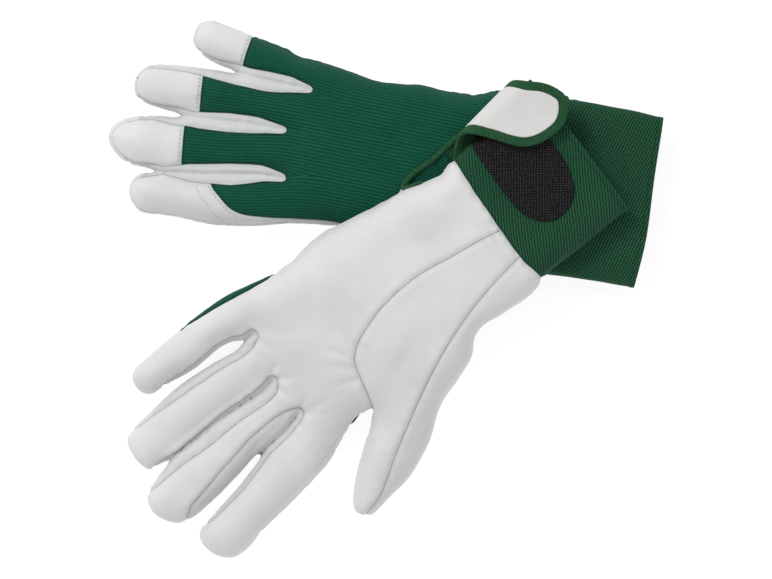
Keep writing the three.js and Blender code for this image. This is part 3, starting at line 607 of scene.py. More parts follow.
class Cutter:
    """Points with values, and triangles cut along the lines where a value is zero."""

    def __init__(self, points, values):
        self.points, self.values = points, values

    def cut(self, triangles, name):
        """The triangles where the named value is positive, and those where it is negative."""
        field = self.values[name]
        field[np.abs(field) < 1e-6] = 0.0
        f = field[triangles]
        mixed = (f.max(1) > 0) & (f.min(1) < 0)
        whole, high = triangles[~mixed], f[~mixed].sum(1) > 0
        above, below = [whole[high]], [whole[~high]]
        broken = triangles[mixed]
        if len(broken):
            sign = np.sign(f[mixed])
            alone = np.where((sign < 0).sum(1) == 1, -1, 1)
            alone[(sign > 0).sum(1) == 1] = 1
            first = (sign == alone[:, None]).argmax(1)
            rows = np.arange(len(broken))
            a, b, c = (broken[rows, (first + k) % 3] for k in range(3))
            ab, ac = self.crossing(a, b, name), self.crossing(a, c, name)
            tip = np.stack([a, ab, ac], 1)
            rest = np.vstack([np.stack([ab, b, c], 1), np.stack([ab, c, ac], 1)])
            high = alone > 0
            for group, side in ((tip, high), (rest, ~np.concatenate([high, high]))):
                real = has_area(group)
                above.append(group[side & real])
                below.append(group[~side & real])
        return np.vstack(above), np.vstack(below)

    def crossing(self, a, b, name):
        """The point on each edge from a to b where the value is zero: b itself, if it is zero there."""
        field = self.values[name]
        out = b.copy()
        need = field[b] != 0
        low, high = np.minimum(a, b)[need], np.maximum(a, b)[need]
        _, first, inverse = np.unique(low * len(field) + high, return_index=True, return_inverse=True)
        p, q = low[first], high[first]
        share = field[p] / (field[p] - field[q])
        out[need] = len(field) + inverse.reshape(-1)
        start, step = self.points[p], self.points[q] - self.points[p]
        self.points = np.vstack([self.points, start + share[:, None] * step])
        for key, value in self.values.items():
            self.values[key] = np.concatenate([value, value[p] + share * (value[q] - value[p])])
        self.values[name][len(field) :] = 0.0
        return out


def waves(points, length, seed):
    """Smooth noise of about unit height, with bumps of about that length in millimetres."""
    count = 14
    draw = np.random.default_rng(seed)
    way = unit_rows(draw.normal(size=(count, 3)))
    rate = 2 * math.pi / (length * draw.uniform(0.75, 1.35, count))
    phase = draw.uniform(0, 2 * math.pi, count)
    total = sum(np.sin(points @ w * r + f) for w, r, f in zip(way, rate, phase))
    return total / math.sqrt(count / 2)


class Glove:
    """One glove: its thickness and middle height over the plan, and its surface cut into the sewn pieces."""

    def __init__(self, side, runs, lines, spines, palm_up):
        self.side, self.lines, self.spines = side, lines, spines
        self.up = 1.0 if palm_up else -1.0
        self.outline = Outline(runs)
        border = 10 * PLAN_PITCH
        self.grid = Grid(self.outline.xy.min(0) - border, self.outline.xy.max(0) + border, PLAN_PITCH)
        plan = self.grid.points()
        depth, near = self.outline.nearest(plan)
        wrist = side_of_line(lines["wrist"], plan)
        codes = [self.outline.names.index(name) for name in STRIPS]
        rolled = np.isin(self.outline.owner, codes).astype(float)
        rolled = sum(np.roll(rolled, shift) for shift in range(-10, 11)) / 21
        self.fall = EDGE_FALL + (SIDE_FALL - EDGE_FALL) * rolled
        half, fall = self.profile(wrist, near)
        full = half**2
        square = np.where(depth > 0, full * (1 - np.exp(-2 * np.abs(depth) / fall)), full * 2 * depth / fall)
        square = self.pressed(plan, depth, square, self.outline.owner[near])
        square = square.reshape(self.grid.shape)
        inner = smoothstep(1.5, 5.5, depth).reshape(self.grid.shape)
        self.square = square * (1 - inner) + blurred(square, 2.3 / PLAN_PITCH) * inner
        soft = np.sqrt(np.maximum(blurred(square, 3.0 / PLAN_PITCH), 0.0))
        rest = 0.42 * half.reshape(self.grid.shape) + 0.58 * soft
        rest += max(0.0, (np.sqrt(np.maximum(self.square, 0.0)) - rest).max())
        if side == "right":
            raised = smoothstep(-10.0, 26.0, wrist).reshape(self.grid.shape)
            rest = rest + (CUFF_MIDDLE - rest) * raised
        self.middle = rest + self.lift(plan).reshape(self.grid.shape)
        self.make_surface()
        self.cut_pieces()

    def pressed(self, plan, depth, square, owner):
        """Closes the gaps between fingers whose sides touch, down to a narrow valley along the middle."""
        closed = np.zeros(len(plan))
        for name, (x, y, reach, open_to, low, high) in GAPS[self.side].items():
            code = self.outline.names.index(name)
            from_crotch = np.hypot(plan[:, 0] - x, plan[:, 1] - y)
            rows = np.flatnonzero((owner == code) & (from_crotch < reach + 5.0) & (np.abs(depth) < 4.0))
            crotch = self.outline.tree.find((x, y, 0.0))[1]
            samples = np.flatnonzero(self.outline.owner == code)
            gaps = []
            for side in (samples[samples < crotch], samples[samples > crotch]):
                rel = plan[rows, None, :] - self.outline.xy[None, side, :]
                gaps.append(np.sqrt((rel**2).sum(2).min(1)))
            off = np.abs(gaps[0] - gaps[1]) / 2 + np.maximum(depth[rows], 0.0)
            at = from_crotch[rows]
            floor = low + (high - low) * smoothstep(open_to - 12.0, open_to + 6.0, at)
            valley = (floor + np.minimum(VALLEY_RISE * off, VALLEY_TOP - floor)) ** 2
            share = 1 - smoothstep(reach - 6.0, reach + 5.0, at)
            square[rows] += share * np.maximum(valley - square[rows], 0.0)
            closed[rows] = share
        closed = blurred(closed.reshape(self.grid.shape), 1.0)
        square = square.reshape(self.grid.shape)
        return (square * (1 - closed) + blurred(square, 1.3) * closed).ravel()

    def lift(self, plan):
        """How far the glove is raised where it lies on the other one."""
        if self.side == "right":
            return np.zeros(len(plan))
        past = (plan - DRAPE_THROUGH) @ DRAPE_NORMAL
        return LIFT * (1 - smoothstep(DRAPE_START, DRAPE_END, past))

    def profile(self, wrist, near):
        """Half of the full thickness, and how far in from the outline it is reached."""
        cuff = smoothstep(-14.0, 9.0, wrist)
        half = HAND_HALF * (1 - cuff) + CUFF_HALF * cuff
        return half, self.fall[near] * (1 - cuff) + CUFF_FALL * cuff

    def slope(self, points):
        """The outward slope of the surface's value at the points, and the value."""
        square, sx, sy = self.grid.read(self.square, points[:, :2])
        middle, mx, my = self.grid.read(self.middle, points[:, :2])
        off = points[:, 2] - middle
        way = np.stack([-sx - 2 * off * mx, -sy - 2 * off * my, 2 * off], 1)
        return way, off**2 - square, off

    def make_surface(self):
        low = self.outline.xy.min(0) - 2 * CELL
        high = self.outline.xy.max(0) + 2 * CELL
        thick = np.sqrt(np.maximum(self.square, 0.0))
        bottom, top = (self.middle - thick).min() - 2 * CELL, (self.middle + thick).max() + 2 * CELL
        box = Grid(low, high, CELL)
        square, _, _ = self.grid.read(self.square, box.points())
        middle, _, _ = self.grid.read(self.middle, box.points())
        z = np.arange(bottom, top + CELL, CELL)
        value = square[:, None] - (z[None] - middle[:, None]) ** 2
        points, squares = surface_net(value.reshape(*box.shape, len(z)), (*box.low, bottom), CELL)
        for _ in range(4):
            way, value, _ = self.slope(points)
            points = points - way * (value / np.maximum((way**2).sum(1), 1e-9))[:, None]
        first = np.linalg.norm(points[squares[:, 0]] - points[squares[:, 2]], axis=1)
        second = np.linalg.norm(points[squares[:, 1]] - points[squares[:, 3]], axis=1)
        turn = first > second
        squares[turn] = np.roll(squares[turn], 1, axis=1)
        self.triangles = np.vstack([squares[:, [0, 1, 2]], squares[:, [0, 2, 3]]])
        plan = points[:, :2]
        depth, near = self.outline.nearest(plan)
        values = {name: side_of_line(line, plan) for name, line in self.lines.items()}
        _, _, off = self.slope(points)
        half, fall = self.profile(values["wrist"], near)
        around = self.up * np.sign(off) * (np.abs(off) + np.maximum(depth, 0.0))
        for k, (name, sign) in enumerate((("palm", -1), ("back", 1))):
            inset = self.outline.seams[near, k]
            level = np.sign(inset) * (np.abs(inset) + half * np.sqrt(1 - np.exp(-2 * np.abs(inset) / fall)))
            values[name] = around + sign * level
        values["depth"] = depth
        self.cutter = Cutter(points, values)

    def owner(self, triangles):
        """The strip piece that runs along the outline nearest to each triangle."""
        centre = self.cutter.points[triangles].mean(1)
        near = np.array([self.outline.tree.find((x, y, 0.0))[1] for x, y, _ in centre], int)
        return np.array([self.outline.names[k] or "" for k in self.outline.owner[near]])

    def finger(self, triangles):
        """The finger whose spine is nearest to each triangle."""
        centre = self.cutter.points[triangles].mean(1)[:, :2]
        names = sorted(self.spines)
        gaps = []
        for name in names:
            spine, _ = smooth_curve(self.spines[name], False, COARSE_STEP)
            gaps.append(np.min([np.linalg.norm(centre - p, axis=1) for p in spine], axis=0))
        return np.array(names)[np.argmin(gaps, axis=0)]

    def cut_pieces(self):
        cut = self.cutter.cut
        kept, _ = cut(self.triangles, "end")
        cuff, hand = cut(kept, "wrist")
        parts = {}
        palms, backs = [], []
        for group in (cuff, hand):
            palm, rest = cut(group, "palm")
            strips, back = cut(rest, "back")
            owner = self.owner(strips)
            for name in STRIPS:
                own = strips[owner == name]
                parts[name] = np.vstack([parts[name], own]) if name in parts else own
            palms.append(palm)
            backs.append(np.vstack([back, strips[owner == ""]]))
        parts["cuff_elastic"] = np.vstack([palms[0], backs[0]])
        thumb, parts["palm_leather"] = cut(palms[1], "palm_seam")
        outer, parts["thumb_front"] = cut(thumb, "side_seam")
        under, back = cut(backs[1], "back_seam")
        parts["thumb_back"] = np.vstack([outer, under])
        finger = self.finger(back)
        plain = []
        for name in sorted(self.spines):
            own = back[finger == name]
            if name == "index":
                from_tip = np.linalg.norm(self.cutter.points[:, :2] - self.spines[name][-1], axis=1)
                self.cutter.values["guard"] = np.maximum(self.cutter.values["guard"], from_tip - GUARD_LENGTH)
                rest, parts["index_guard"] = cut(own, "guard")
            else:
                tip, before = np.array(self.spines[name][-1], float), np.array(self.spines[name][-2], float)
                way = unit(tip - before)
                self.cutter.values["cap"] = (self.cutter.points[:, :2] - tip) @ way + CAPS[name]
                parts["tip_cap_" + name], rest = cut(own, "cap")
            plain.append(rest)
        parts["back_knit"] = np.vstack(plain)
        self.parts = parts


left = Glove("left", LEFT_RUNS, LEFT_LINES, LEFT_SPINES, True)
right = Glove("right", RIGHT_RUNS, RIGHT_LINES, RIGHT_SPINES, False)

# ---- From surfaces to sewn pieces ----


def edges_of(triangles):
    """The directed edges that only one triangle has."""
    directed = np.vstack([triangles[:, [0, 1]], triangles[:, [1, 2]], triangles[:, [2, 0]]])
    low, high = directed.min(1), directed.max(1)
    _, first, count = np.unique(low * (high.max() + 1) + high, return_index=True, return_counts=True)
    return directed[first[count == 1]]


def vertex_normals(points, triangles):
    a, b, c = (points[triangles[:, k]] for k in range(3))
    face = np.cross(b - a, c - a)
    normal = np.zeros_like(points)
    for k in range(3):
        np.add.at(normal, triangles[:, k], face)
    return normal / np.maximum(np.linalg.norm(normal, axis=1), 1e-12)[:, None]


def make_object(name, points, faces, material, uv=None, seam=None, sharp=None):
    """A mesh object from points in plan millimetres, with its faces as an array or as a list."""
    mesh = bpy.data.meshes.new(name)
    if not isinstance(faces, list):
        width = faces.shape[1]
        mesh.vertices.add(len(points))
        mesh.vertices.foreach_set("co", ((points + ORIGIN) * MM).astype(np.float32).ravel())
        mesh.loops.add(faces.size)
        mesh.loops.foreach_set("vertex_index", faces.astype(np.int32).ravel())
        mesh.polygons.add(len(faces))
        mesh.polygons.foreach_set("loop_start", np.arange(0, faces.size, width, dtype=np.int32))
        mesh.update(calc_edges=True)
    else:
        mesh.from_pydata(((points + ORIGIN) * MM).tolist(), [], faces)
    mesh.validate()
    mesh.polygons.foreach_set("use_smooth", np.full(len(mesh.polygons), True))
    loops = np.empty(len(mesh.loops), np.int32)
    mesh.loops.foreach_get("vertex_index", loops)
    if uv is not None:
        layer = mesh.uv_layers.new(name="cloth")
        layer.data.foreach_set("uv", (uv[loops] / CLOTH_UNIT).astype(np.float32).ravel())
    if seam is not None:
        attribute = mesh.attributes.new("seam", "FLOAT", "POINT")
        attribute.data.foreach_set("value", seam.astype(np.float32))
    if sharp is not None:
        pairs = np.empty(len(mesh.edges) * 2, np.int32)
        mesh.edges.foreach_get("vertices", pairs)
        pairs = np.sort(pairs.reshape(-1, 2), axis=1)
        marks = np.sort(sharp, axis=1)
        keys = [ends[:, 0].astype(np.int64) * len(points) + ends[:, 1] for ends in (pairs, marks)]
        attribute = mesh.attributes.new("sharp_edge", "BOOLEAN", "EDGE")
        attribute.data.foreach_set("value", np.isin(*keys))
    mesh.materials.append(material)
    obj = bpy.data.objects.new(name, mesh)
    bpy.context.scene.collection.objects.link(obj)
    return obj


def thick_sheet(name, glove, part, thickness, material, uv):
    """A part of the glove as a sheet of that thickness under its outer surface, closed round its edge."""
    used, local = np.unique(glove.parts[part], return_inverse=True)
    outer = local.reshape(-1, 3)
    count = len(used)
    p, n = glove.points[used], glove.normals[used]
    rim = edges_of(outer)
    a, b = rim[:, 0], rim[:, 1]
    faces = np.vstack([
        outer,
        outer[:, ::-1] + count,
        np.stack([b, a, a + count], 1),
        np.stack([b, a + count, b + count], 1),
    ])
    both = np.vstack([p, p - n * thickness])
    twice = np.concatenate([used, used])
    marks = np.vstack([rim, rim + count])
    return make_object(name, both, faces, material, uv[twice], glove.seam[twice], marks)


WELD_STEPS = 2e3  # to the millimetre, when points are matched up
GROOVE_DEPTH, GROOVE_WIDTH, GROOVE_BRIM = 0.62, 1.15, 0.16  # of a seam, with the cloth's rise beside it
PUCKER = 0.2  # height of the gathers along a seam
CLEAR_OF_FLOOR = 0.12


def dress(glove):
    """Moves the glove's surface as sewing, wear and its own softness would."""
    points = glove.cutter.points
    values = glove.cutter.values
    way, _, off = glove.slope(points)
    normals = way / np.maximum(np.linalg.norm(way, axis=1), 1e-9)[:, None]
    _, weld = np.unique(np.round(points * WELD_STEPS).astype(np.int64), axis=0, return_inverse=True)
    weld = weld.reshape(-1)
    first = np.full(weld.max() + 1, -1)
    first[weld[::-1]] = np.arange(len(weld))[::-1]
    merged = first[weld]
    for name, triangles in glove.parts.items():
        t = merged[triangles]
        glove.parts[name] = t[has_area(t)]
    rims = np.unique(np.concatenate([edges_of(t).ravel() for t in glove.parts.values()]))
    _, near = glove.outline.nearest(points[:, :2])
    slit_code = glove.outline.names.index(SLIT)
    at_slit = glove.outline.owner[near] == slit_code
    lip = at_slit & (values["depth"] < 1.5) & (np.abs(values["wrist"]) > 0.3)
    free = (np.abs(values["end"]) < 0.02) | lip
    seams = rims[~free[rims]]
    tree = kdtree.KDTree(len(seams))
    for i, k in enumerate(seams):
        tree.insert(points[k], i)
    tree.balance()
    found = [tree.find(p) for p in points]
    gap = np.array([f[2] for f in found])
    foot = points[seams[np.array([f[1] for f in found])]]
    cuff = smoothstep(-1.0, 1.0, values["wrist"])
    groove = -GROOVE_DEPTH * hump(gap / GROOVE_WIDTH) + GROOVE_BRIM * hump((gap - 3.0) / 1.7)
    gather = 1.0 + 1.2 * hump(values["wrist"] / 9.0)
    pucker = PUCKER * waves(foot, 5.2, 11) * np.minimum(1.0, gap / 1.2) * np.exp(-gap / 3.0)
    pucker = pucker * gather * (1 - 0.75 * cuff)
    broad = 0.42 * waves(points, 42.0, 21) + 0.2 * waves(points, 17.0, 22)
    broad = broad * (1 - hump(gap / 6.0))
    move = groove + pucker + broad * (1 - 0.6 * cuff) + creased(glove, points)
    thin = 1 - smoothstep(-0.6, 0.0, values["depth"])
    move = np.maximum(move, -0.25 * np.abs(off) - 2.0 * (1 - thin))
    selvedge = 0.28 * (1 - smoothstep(2.1, 2.7, np.abs(values["end"]))) * cuff
    glove.seam = gap
    glove.values = values
    glove.off = off
    glove.near = near
    moved = points + normals * (move + selvedge)[:, None]
    moved = moved + flare(glove, points, near, at_slit, values)
    moved[:, 2] = np.maximum(moved[:, 2], CLEAR_OF_FLOOR)
    glove.points = moved
    glove.normals = vertex_normals(moved, np.vstack(list(glove.parts.values())))


def creased(glove, points):
    """Soft creases in the upper side of the glove."""
    upper = smoothstep(1.0, 4.0, glove.slope(points)[2])
    total = np.zeros(len(points))
    for start, end, depth, width in LEFT_CREASES if glove.side == "left" else RIGHT_CREASES:
        start, way = np.array(start, float), np.array(end, float) - start
        length, rel = np.linalg.norm(way), points[:, :2] - start
        t = rel @ way / length**2
        bow = 0.06 * length * np.sin(math.pi * np.clip(t, 0, 1))
        off = (rel[:, 0] * way[1] - rel[:, 1] * way[0]) / length - bow
        fade = smoothstep(-0.12, 0.1, t) * (1 - smoothstep(0.3, 1.1, t))
        total -= depth * fade * (hump(off / width) - 0.45 * hump((off - 1.9 * width) / width))
    return 1.4 * total * upper


FLARE = {"left": 7.0, "right": 1.6}  # how far the lip stands out
FLARE_END = {"left": (5.5, 44.5), "right": (56.0, 96.2)}  # the slit's end, where it doesn't stand out


def flare(glove, points, near, at_slit, values):
    """How the back's lip of the wrist slit stands out from the palm's."""
    step = glove.outline.step[near]
    outward = np.stack([step[:, 1], -step[:, 0]], 1)
    outward = unit_rows(outward)
    inside = glove.outline.holds(glove.outline.xy[near] + 0.5 * outward)
    outward[inside] *= -1
    from_end = np.linalg.norm(glove.outline.xy[near] - FLARE_END[glove.side], axis=1)
    under = smoothstep(-1.0, 1.0, -(glove.up * np.sign(glove.slope(points)[2])) * 3.0)
    share = FLARE[glove.side] * smoothstep(0.0, 11.0, from_end) * hump(np.maximum(values["depth"], 0.0) / 8.0)
    share = share * at_slit * under
    return np.column_stack([outward * share[:, None], -glove.up * 0.25 * share])


dress(left)
dress(right)

# ---- Materials ----


def linear(rgb):
    """The linear colour of an sRGB one given from 0 to 255, with its alpha."""
    return tuple(((c / 255 + 0.055) / 1.055) ** 2.4 if c > 10 else c / 255 / 12.92 for c in rgb) + (1.0,)


class Look:
    """A material in the making. Its methods add nodes, and give back the sockets of their results."""

    def __init__(self, name, rough, sheen, sheen_rough, specular):
        self.material = bpy.data.materials.new(name)
        self.material.use_nodes = True
        self.tree = self.material.node_tree
        self.inputs = self.tree.nodes["Principled BSDF"].inputs
        self.inputs["Roughness"].default_value = rough
        self.inputs["Sheen Weight"].default_value = sheen
        self.inputs["Sheen Roughness"].default_value = sheen_rough
        self.inputs["Specular IOR Level"].default_value = specular

    def add(self, kind, inputs=(), **settings):
        node = self.tree.nodes.new(kind)
        for key, value in settings.items():
            setattr(node, key, value)
        for key, value in dict(inputs).items():
            if isinstance(value, bpy.types.NodeSocket):
                self.tree.links.new(value, node.inputs[key])
            else:
                node.inputs[key].default_value = value
        return node

    def place(self):
        return self.add("ShaderNodeTexCoord").outputs["Object"]

    def noise(self, scale, detail, rough=0.5):
        inputs = {"Vector": self.place(), "Scale": scale, "Detail": detail, "Roughness": rough}
        return self.add("ShaderNodeTexNoise", inputs).outputs["Fac"]

    def maths(self, operation, *values):
        return self.add("ShaderNodeMath", dict(enumerate(values)), operation=operation).outputs[0]

    def times(self, a, b):
        return self.maths("MULTIPLY", a, b)

    def plus(self, a, b):
        return self.maths("ADD", a, b)

    def wave(self, value, pitch):
        """A value from -1 to 1 that repeats every pitch millimetres."""
        return self.maths("SINE", self.maths("MULTIPLY_ADD", value, 2 * math.pi / pitch, 0.0))

    def ramp(self, value, low, high):
        """0 where the value is low and 1 where it is high, eased between them."""
        inputs = {0: value, 1: low, 2: high}
        return self.add("ShaderNodeMapRange", inputs, interpolation_type="SMOOTHSTEP").outputs[0]

    def attribute(self, name):
        return self.add("ShaderNodeAttribute", attribute_name=name).outputs["Fac"]

    def cloth(self):
        """How far along and across its cloth a place is, in millimetres."""
        split = self.add("ShaderNodeSeparateXYZ", {0: self.add("ShaderNodeUVMap", uv_map="cloth").outputs[0]})
        return [self.times(split.outputs[axis], CLOTH_UNIT) for axis in (0, 1)]

    def mix(self, share, a, b):
        return self.add("ShaderNodeMix", {0: share, 6: a, 7: b}, data_type="RGBA").outputs[2]

    def tinted(self, colour, *layers):
        """The colour with others over it, each by a share of how far its value has gone from low to high."""
        for value, low, high, share, rgb in layers:
            colour = self.mix(self.times(self.ramp(value, low, high), share), colour, linear(rgb))
        return colour

    def done(self, colour, height, distance, strength):
        """Joins up the colour and a bump, whose distance is in metres, and gives back the material."""
        bump = self.add("ShaderNodeBump", {"Height": height, "Distance": distance, "Strength": strength})
        self.tree.links.new(colour, self.inputs["Base Color"])
        self.tree.links.new(bump.outputs["Normal"], self.inputs["Normal"])
        return self.material


def leather(name, tone, shade):
    """Smooth grain leather, with painted shade near its seams: a little cooler and darker there."""
    look = Look(name, 0.6, 0.0, 0.4, 0.3)
    cells = {"Vector": look.place(), "Scale": 1500.0}
    pores = look.add("ShaderNodeTexVoronoi", cells, feature="DISTANCE_TO_EDGE").outputs["Distance"]
    cloud, seam = look.noise(38.0, 4.0), look.attribute("seam")
    cloudy = linear(tuple(c - 7 for c in tone))
    colour = look.mix(look.ramp(cloud, 0.35, 0.72), linear(tone), cloudy)
    # Painted shade: the leather turns a little cooler and darker within about 2.6 mm of a seam. The second layer draws
    # a thin dark grey line along the seam itself.
    colour = look.tinted(colour, (seam, 2.6, 0.3, 0.4, shade), (seam, 0.34, 0.12, 0.75, (128, 132, 134)))
    height = look.plus(look.times(look.ramp(pores, 0.0, 0.12), 0.35), look.noise(420.0, 5.0, 0.6))
    return look.done(colour, height, 0.0002, 0.6)


def rib_knit(name):
    """Ribbed cotton knit: raised ribs along the hand, each a column of small stitches."""
    look = Look(name, 0.92, 0.04, 0.5, 0.15)
    along, across = look.cloth()
    rib = look.wave(look.plus(across, look.times(look.noise(120.0, 2.0), 0.35)), 1.69)
    ridge = look.ramp(rib, -1.0, 0.6)
    stitch = look.wave(look.plus(along, look.times(look.maths("ABSOLUTE", rib), 0.42)), 0.95)
    fibre = look.noise(2600.0, 3.0)
    colour = look.tinted(
        look.mix(ridge, linear((0, 46, 34)), linear((6, 80, 61))),
        (stitch, -0.2, 1.0, 0.3, (34, 122, 90)),
        (fibre, 0.5, 0.75, 0.3, (52, 140, 106)),
        (look.noise(60.0, 3.0), 0.4, 0.7, 0.25, (4, 66, 46)),
        # Painted shade: darker green near the seams.
        (look.attribute("seam"), 1.6, 0.2, 0.6, (0, 34, 24)),
    )
    height = look.plus(look.plus(ridge, look.times(stitch, 0.3)), look.times(fibre, 0.3))
    return look.done(colour, height, 0.00024, 0.8)


def woven_elastic(name):
    """Heavy woven elastic: offset rows of small raised flecks, with a corded edge."""
    look = Look(name, 0.85, 0.03, 0.45, 0.2)
    along, across = look.cloth()
    first = look.wave(look.plus(across, look.times(along, 0.3)), 1.15)
    second = look.wave(look.maths("SUBTRACT", along, look.times(across, 0.55)), 1.6)
    fleck = look.times(look.plus(first, second), 0.5)
    fibre, edge = look.noise(2400.0, 2.0), look.attribute("edge")
    colour = look.tinted(
        look.mix(look.ramp(fleck, -0.3, 0.4), linear((0, 20, 10)), linear((44, 104, 72))),
        (look.wave(along, 2.3), -0.2, 1.0, 0.2, (6, 58, 34)),
        (fibre, 0.5, 0.8, 0.35, (60, 128, 92)),
        (look.noise(45.0, 3.0), 0.4, 0.7, 0.2, (3, 58, 34)),
        # Painted shade: darker near the seams.
        (look.attribute("seam"), 1.4, 0.2, 0.5, (2, 36, 20)),
    )
    cord = look.times(look.ramp(edge, 2.1, 2.4), look.ramp(edge, 2.9, 2.6))
    colour = look.mix(look.times(cord, 0.55), colour, linear((2, 40, 22)))
    return look.done(colour, look.plus(fleck, look.times(fibre, 0.4)), 0.00022, 0.9)


def ribbed_tape(name, light, dark):
    """Binding tape with fine ribs across it."""
    look = Look(name, 0.85, 0.05, 0.5, 0.2)
    along, across = look.cloth()
    rib = look.wave(look.plus(along, look.times(across, 0.35)), 0.72)
    fibre = look.noise(2200.0, 3.0)
    colour = look.mix(look.ramp(rib, -0.6, 0.8), linear(dark), linear(light))
    colour = look.tinted(colour, (fibre, 0.5, 0.8, 0.35, (92, 156, 106)))
    return look.done(colour, look.plus(rib, look.times(fibre, 0.5)), 0.00018, 1.0)


def pile(name, light, dark, pitch):
    """Black nylon pile, in rows of tiny loops or hooks."""
    look = Look(name, 0.8, 0.0, 0.5, 0.15)
    along, across = look.cloth()
    wander = look.noise(700.0, 2.0)
    along_rows = look.wave(look.plus(along, look.times(wander, 1.3)), pitch)
    across_rows = look.wave(look.plus(across, look.times(wander, 1.1)), pitch * 0.6)
    rows = look.plus(look.times(along_rows, 0.7), across_rows)
    fuzz = look.noise(1400.0, 4.0, 0.7)
    colour = look.mix(look.ramp(rows, -0.4, 1.5), linear(dark), linear(light))
    colour = look.tinted(colour, (fuzz, 0.55, 0.75, 0.35, (92, 90, 92)))
    return look.done(colour, look.plus(rows, fuzz), 0.0005, 1.0)


def thread(name, rgb):
    """Twisted sewing thread."""
    look = Look(name, 0.6, 0.1, 0.5, 0.4)
    twist = look.noise(3500.0, 2.0)
    shaded = linear(tuple(max(c - 30, 0) for c in rgb))
    return look.done(look.mix(look.ramp(twist, 0.35, 0.7), shaded, linear(rgb)), twist, 0.0001, 0.8)


# The third colour of each leather is its painted shade near the seams.
LEATHER = leather("leather", (222, 222, 221), (196, 199, 202))
FOURCHETTE = leather("fourchette_leather", (214, 215, 215), (188, 191, 194))
FACING = leather("facing_leather", (216, 215, 213), (200, 199, 198))
KNIT = rib_knit("rib_knit")
ELASTIC = woven_elastic("woven_elastic")
TAPE = ribbed_tape("binding_tape", (44, 106, 64), (12, 60, 32))
WEB = ribbed_tape("strap_webbing", (36, 98, 62), (8, 52, 30))
LOOP = pile("loop_pile", (84, 82, 84), (3, 3, 3), 1.35)
HOOK = pile("hook_pile", (48, 47, 50), (10, 10, 11), 0.85)
# The stitches are drawn grey, darker than the white leather: partly the thread, partly painted shade in their sunken
# holes.
GREY_THREAD = thread("grey_thread", (176, 178, 180))

# ---- The cut pieces ----
# Thickness in millimetres, material, slot, then the size of the rectangle that each is cut from and its own
# area, both in metres.
CUTS = {
    "palm_leather": (0.9, LEATHER, "leather", (0.155, 0.215), 0.0155),
    "thumb_front": (0.9, LEATHER, "leather", (0.05, 0.15), 0.0042),
    "thumb_back": (0.9, LEATHER, "leather", (0.07, 0.15), 0.0053),
    "fourchette_little_ring": (0.7, FOURCHETTE, "leather", (0.018, 0.155), 0.0015),
    "fourchette_ring_middle": (0.7, FOURCHETTE, "leather", (0.018, 0.165), 0.0015),
    "fourchette_middle_index": (0.7, FOURCHETTE, "leather", (0.018, 0.16), 0.0016),
    "back_knit": (1.0, KNIT, "knit", (0.14, 0.16), 0.0125),
    "tip_cap_little": (0.9, LEATHER, "leather", (0.024, 0.03), 0.0005),
    "tip_cap_ring": (0.9, LEATHER, "leather", (0.024, 0.035), 0.00065),
    "tip_cap_middle": (0.9, LEATHER, "leather", (0.026, 0.038), 0.0008),
    "index_guard": (0.9, LEATHER, "leather", (0.035, 0.1), 0.0015),
    "cuff_elastic": (1.3, ELASTIC, "elastic", (0.18, 0.062), 0.0095),
}


def cloth_uv(glove):
    """Where each point lies along and across the cloth, in millimetres."""
    plan = glove.points[:, :2]
    wrist = np.array(glove.lines["wrist"][1]), np.array(glove.lines["wrist"][-2])
    across = unit(wrist[1] - wrist[0])
    along = np.array([across[1], -across[0]])
    u, v = plan @ along, plan @ across
    down = 0.9 * np.maximum(HAND_HALF - np.abs(glove.off), 0.0)  # further round the side than the plan shows
    cuff = np.column_stack([u, v + down * np.tanh((v - (wrist[0] + wrist[1]) @ across / 2) / 12.0)])
    middle = (np.array(glove.spines["ring"][0]) + np.array(glove.spines["middle"][0])) / 2
    back = unit(middle - (wrist[0] + wrist[1]) / 2)
    side = np.array([-back[1], back[0]])
    hand_u, hand_v = plan @ back, plan @ side
    out_u, out_v = hand_u.copy(), hand_v + down * np.tanh((hand_v - middle @ side) / 12.0)
    hand_v = out_v.copy()
    best = np.full(len(plan), np.inf)
    for spine in glove.spines.values():
        root, tip = np.array(spine[0], float), np.array(spine[-1], float)
        way = unit(tip - root)
        off = plan - root
        reach, beside = off @ way, off @ np.array([-way[1], way[0]])
        share = smoothstep(-5.0, 45.0, reach)
        closer = np.abs(beside) < best
        best = np.where(closer, np.abs(beside), best)
        finger_v = root @ side + beside + down * np.tanh(beside / 4.0)
        finger_u = root @ back + reach
        out_v = np.where(closer, hand_v + share * (finger_v - hand_v), out_v)
        out_u = np.where(closer, hand_u + share * (finger_u - hand_u), out_u)
    return cuff, np.column_stack([out_u, out_v])


pieces, sheets = {}, {}
for glove in (left, right):
    cuff_uv, hand_uv = cloth_uv(glove)
    for part, (thickness, material, slot, flat, area) in CUTS.items():
        name = f"{glove.side}_{part}_piece"
        uv = cuff_uv if part == "cuff_elastic" else hand_uv
        obj = thick_sheet(name, glove, part, thickness, material, uv)
        if part == "cuff_elastic":
            used = np.unique(glove.parts[part])
            edge = obj.data.attributes.new("edge", "FLOAT", "POINT")
            edge.data.foreach_set("value", np.tile(np.abs(glove.values["end"][used]), 2).astype(np.float32))
        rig.ride(obj, f"{glove.side}_glove")
        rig.replaces(obj, f"{glove.side}_{part}")
        sheets[name] = (flat, area, "laid")
        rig.slot(obj, slot)
        pieces[name] = obj


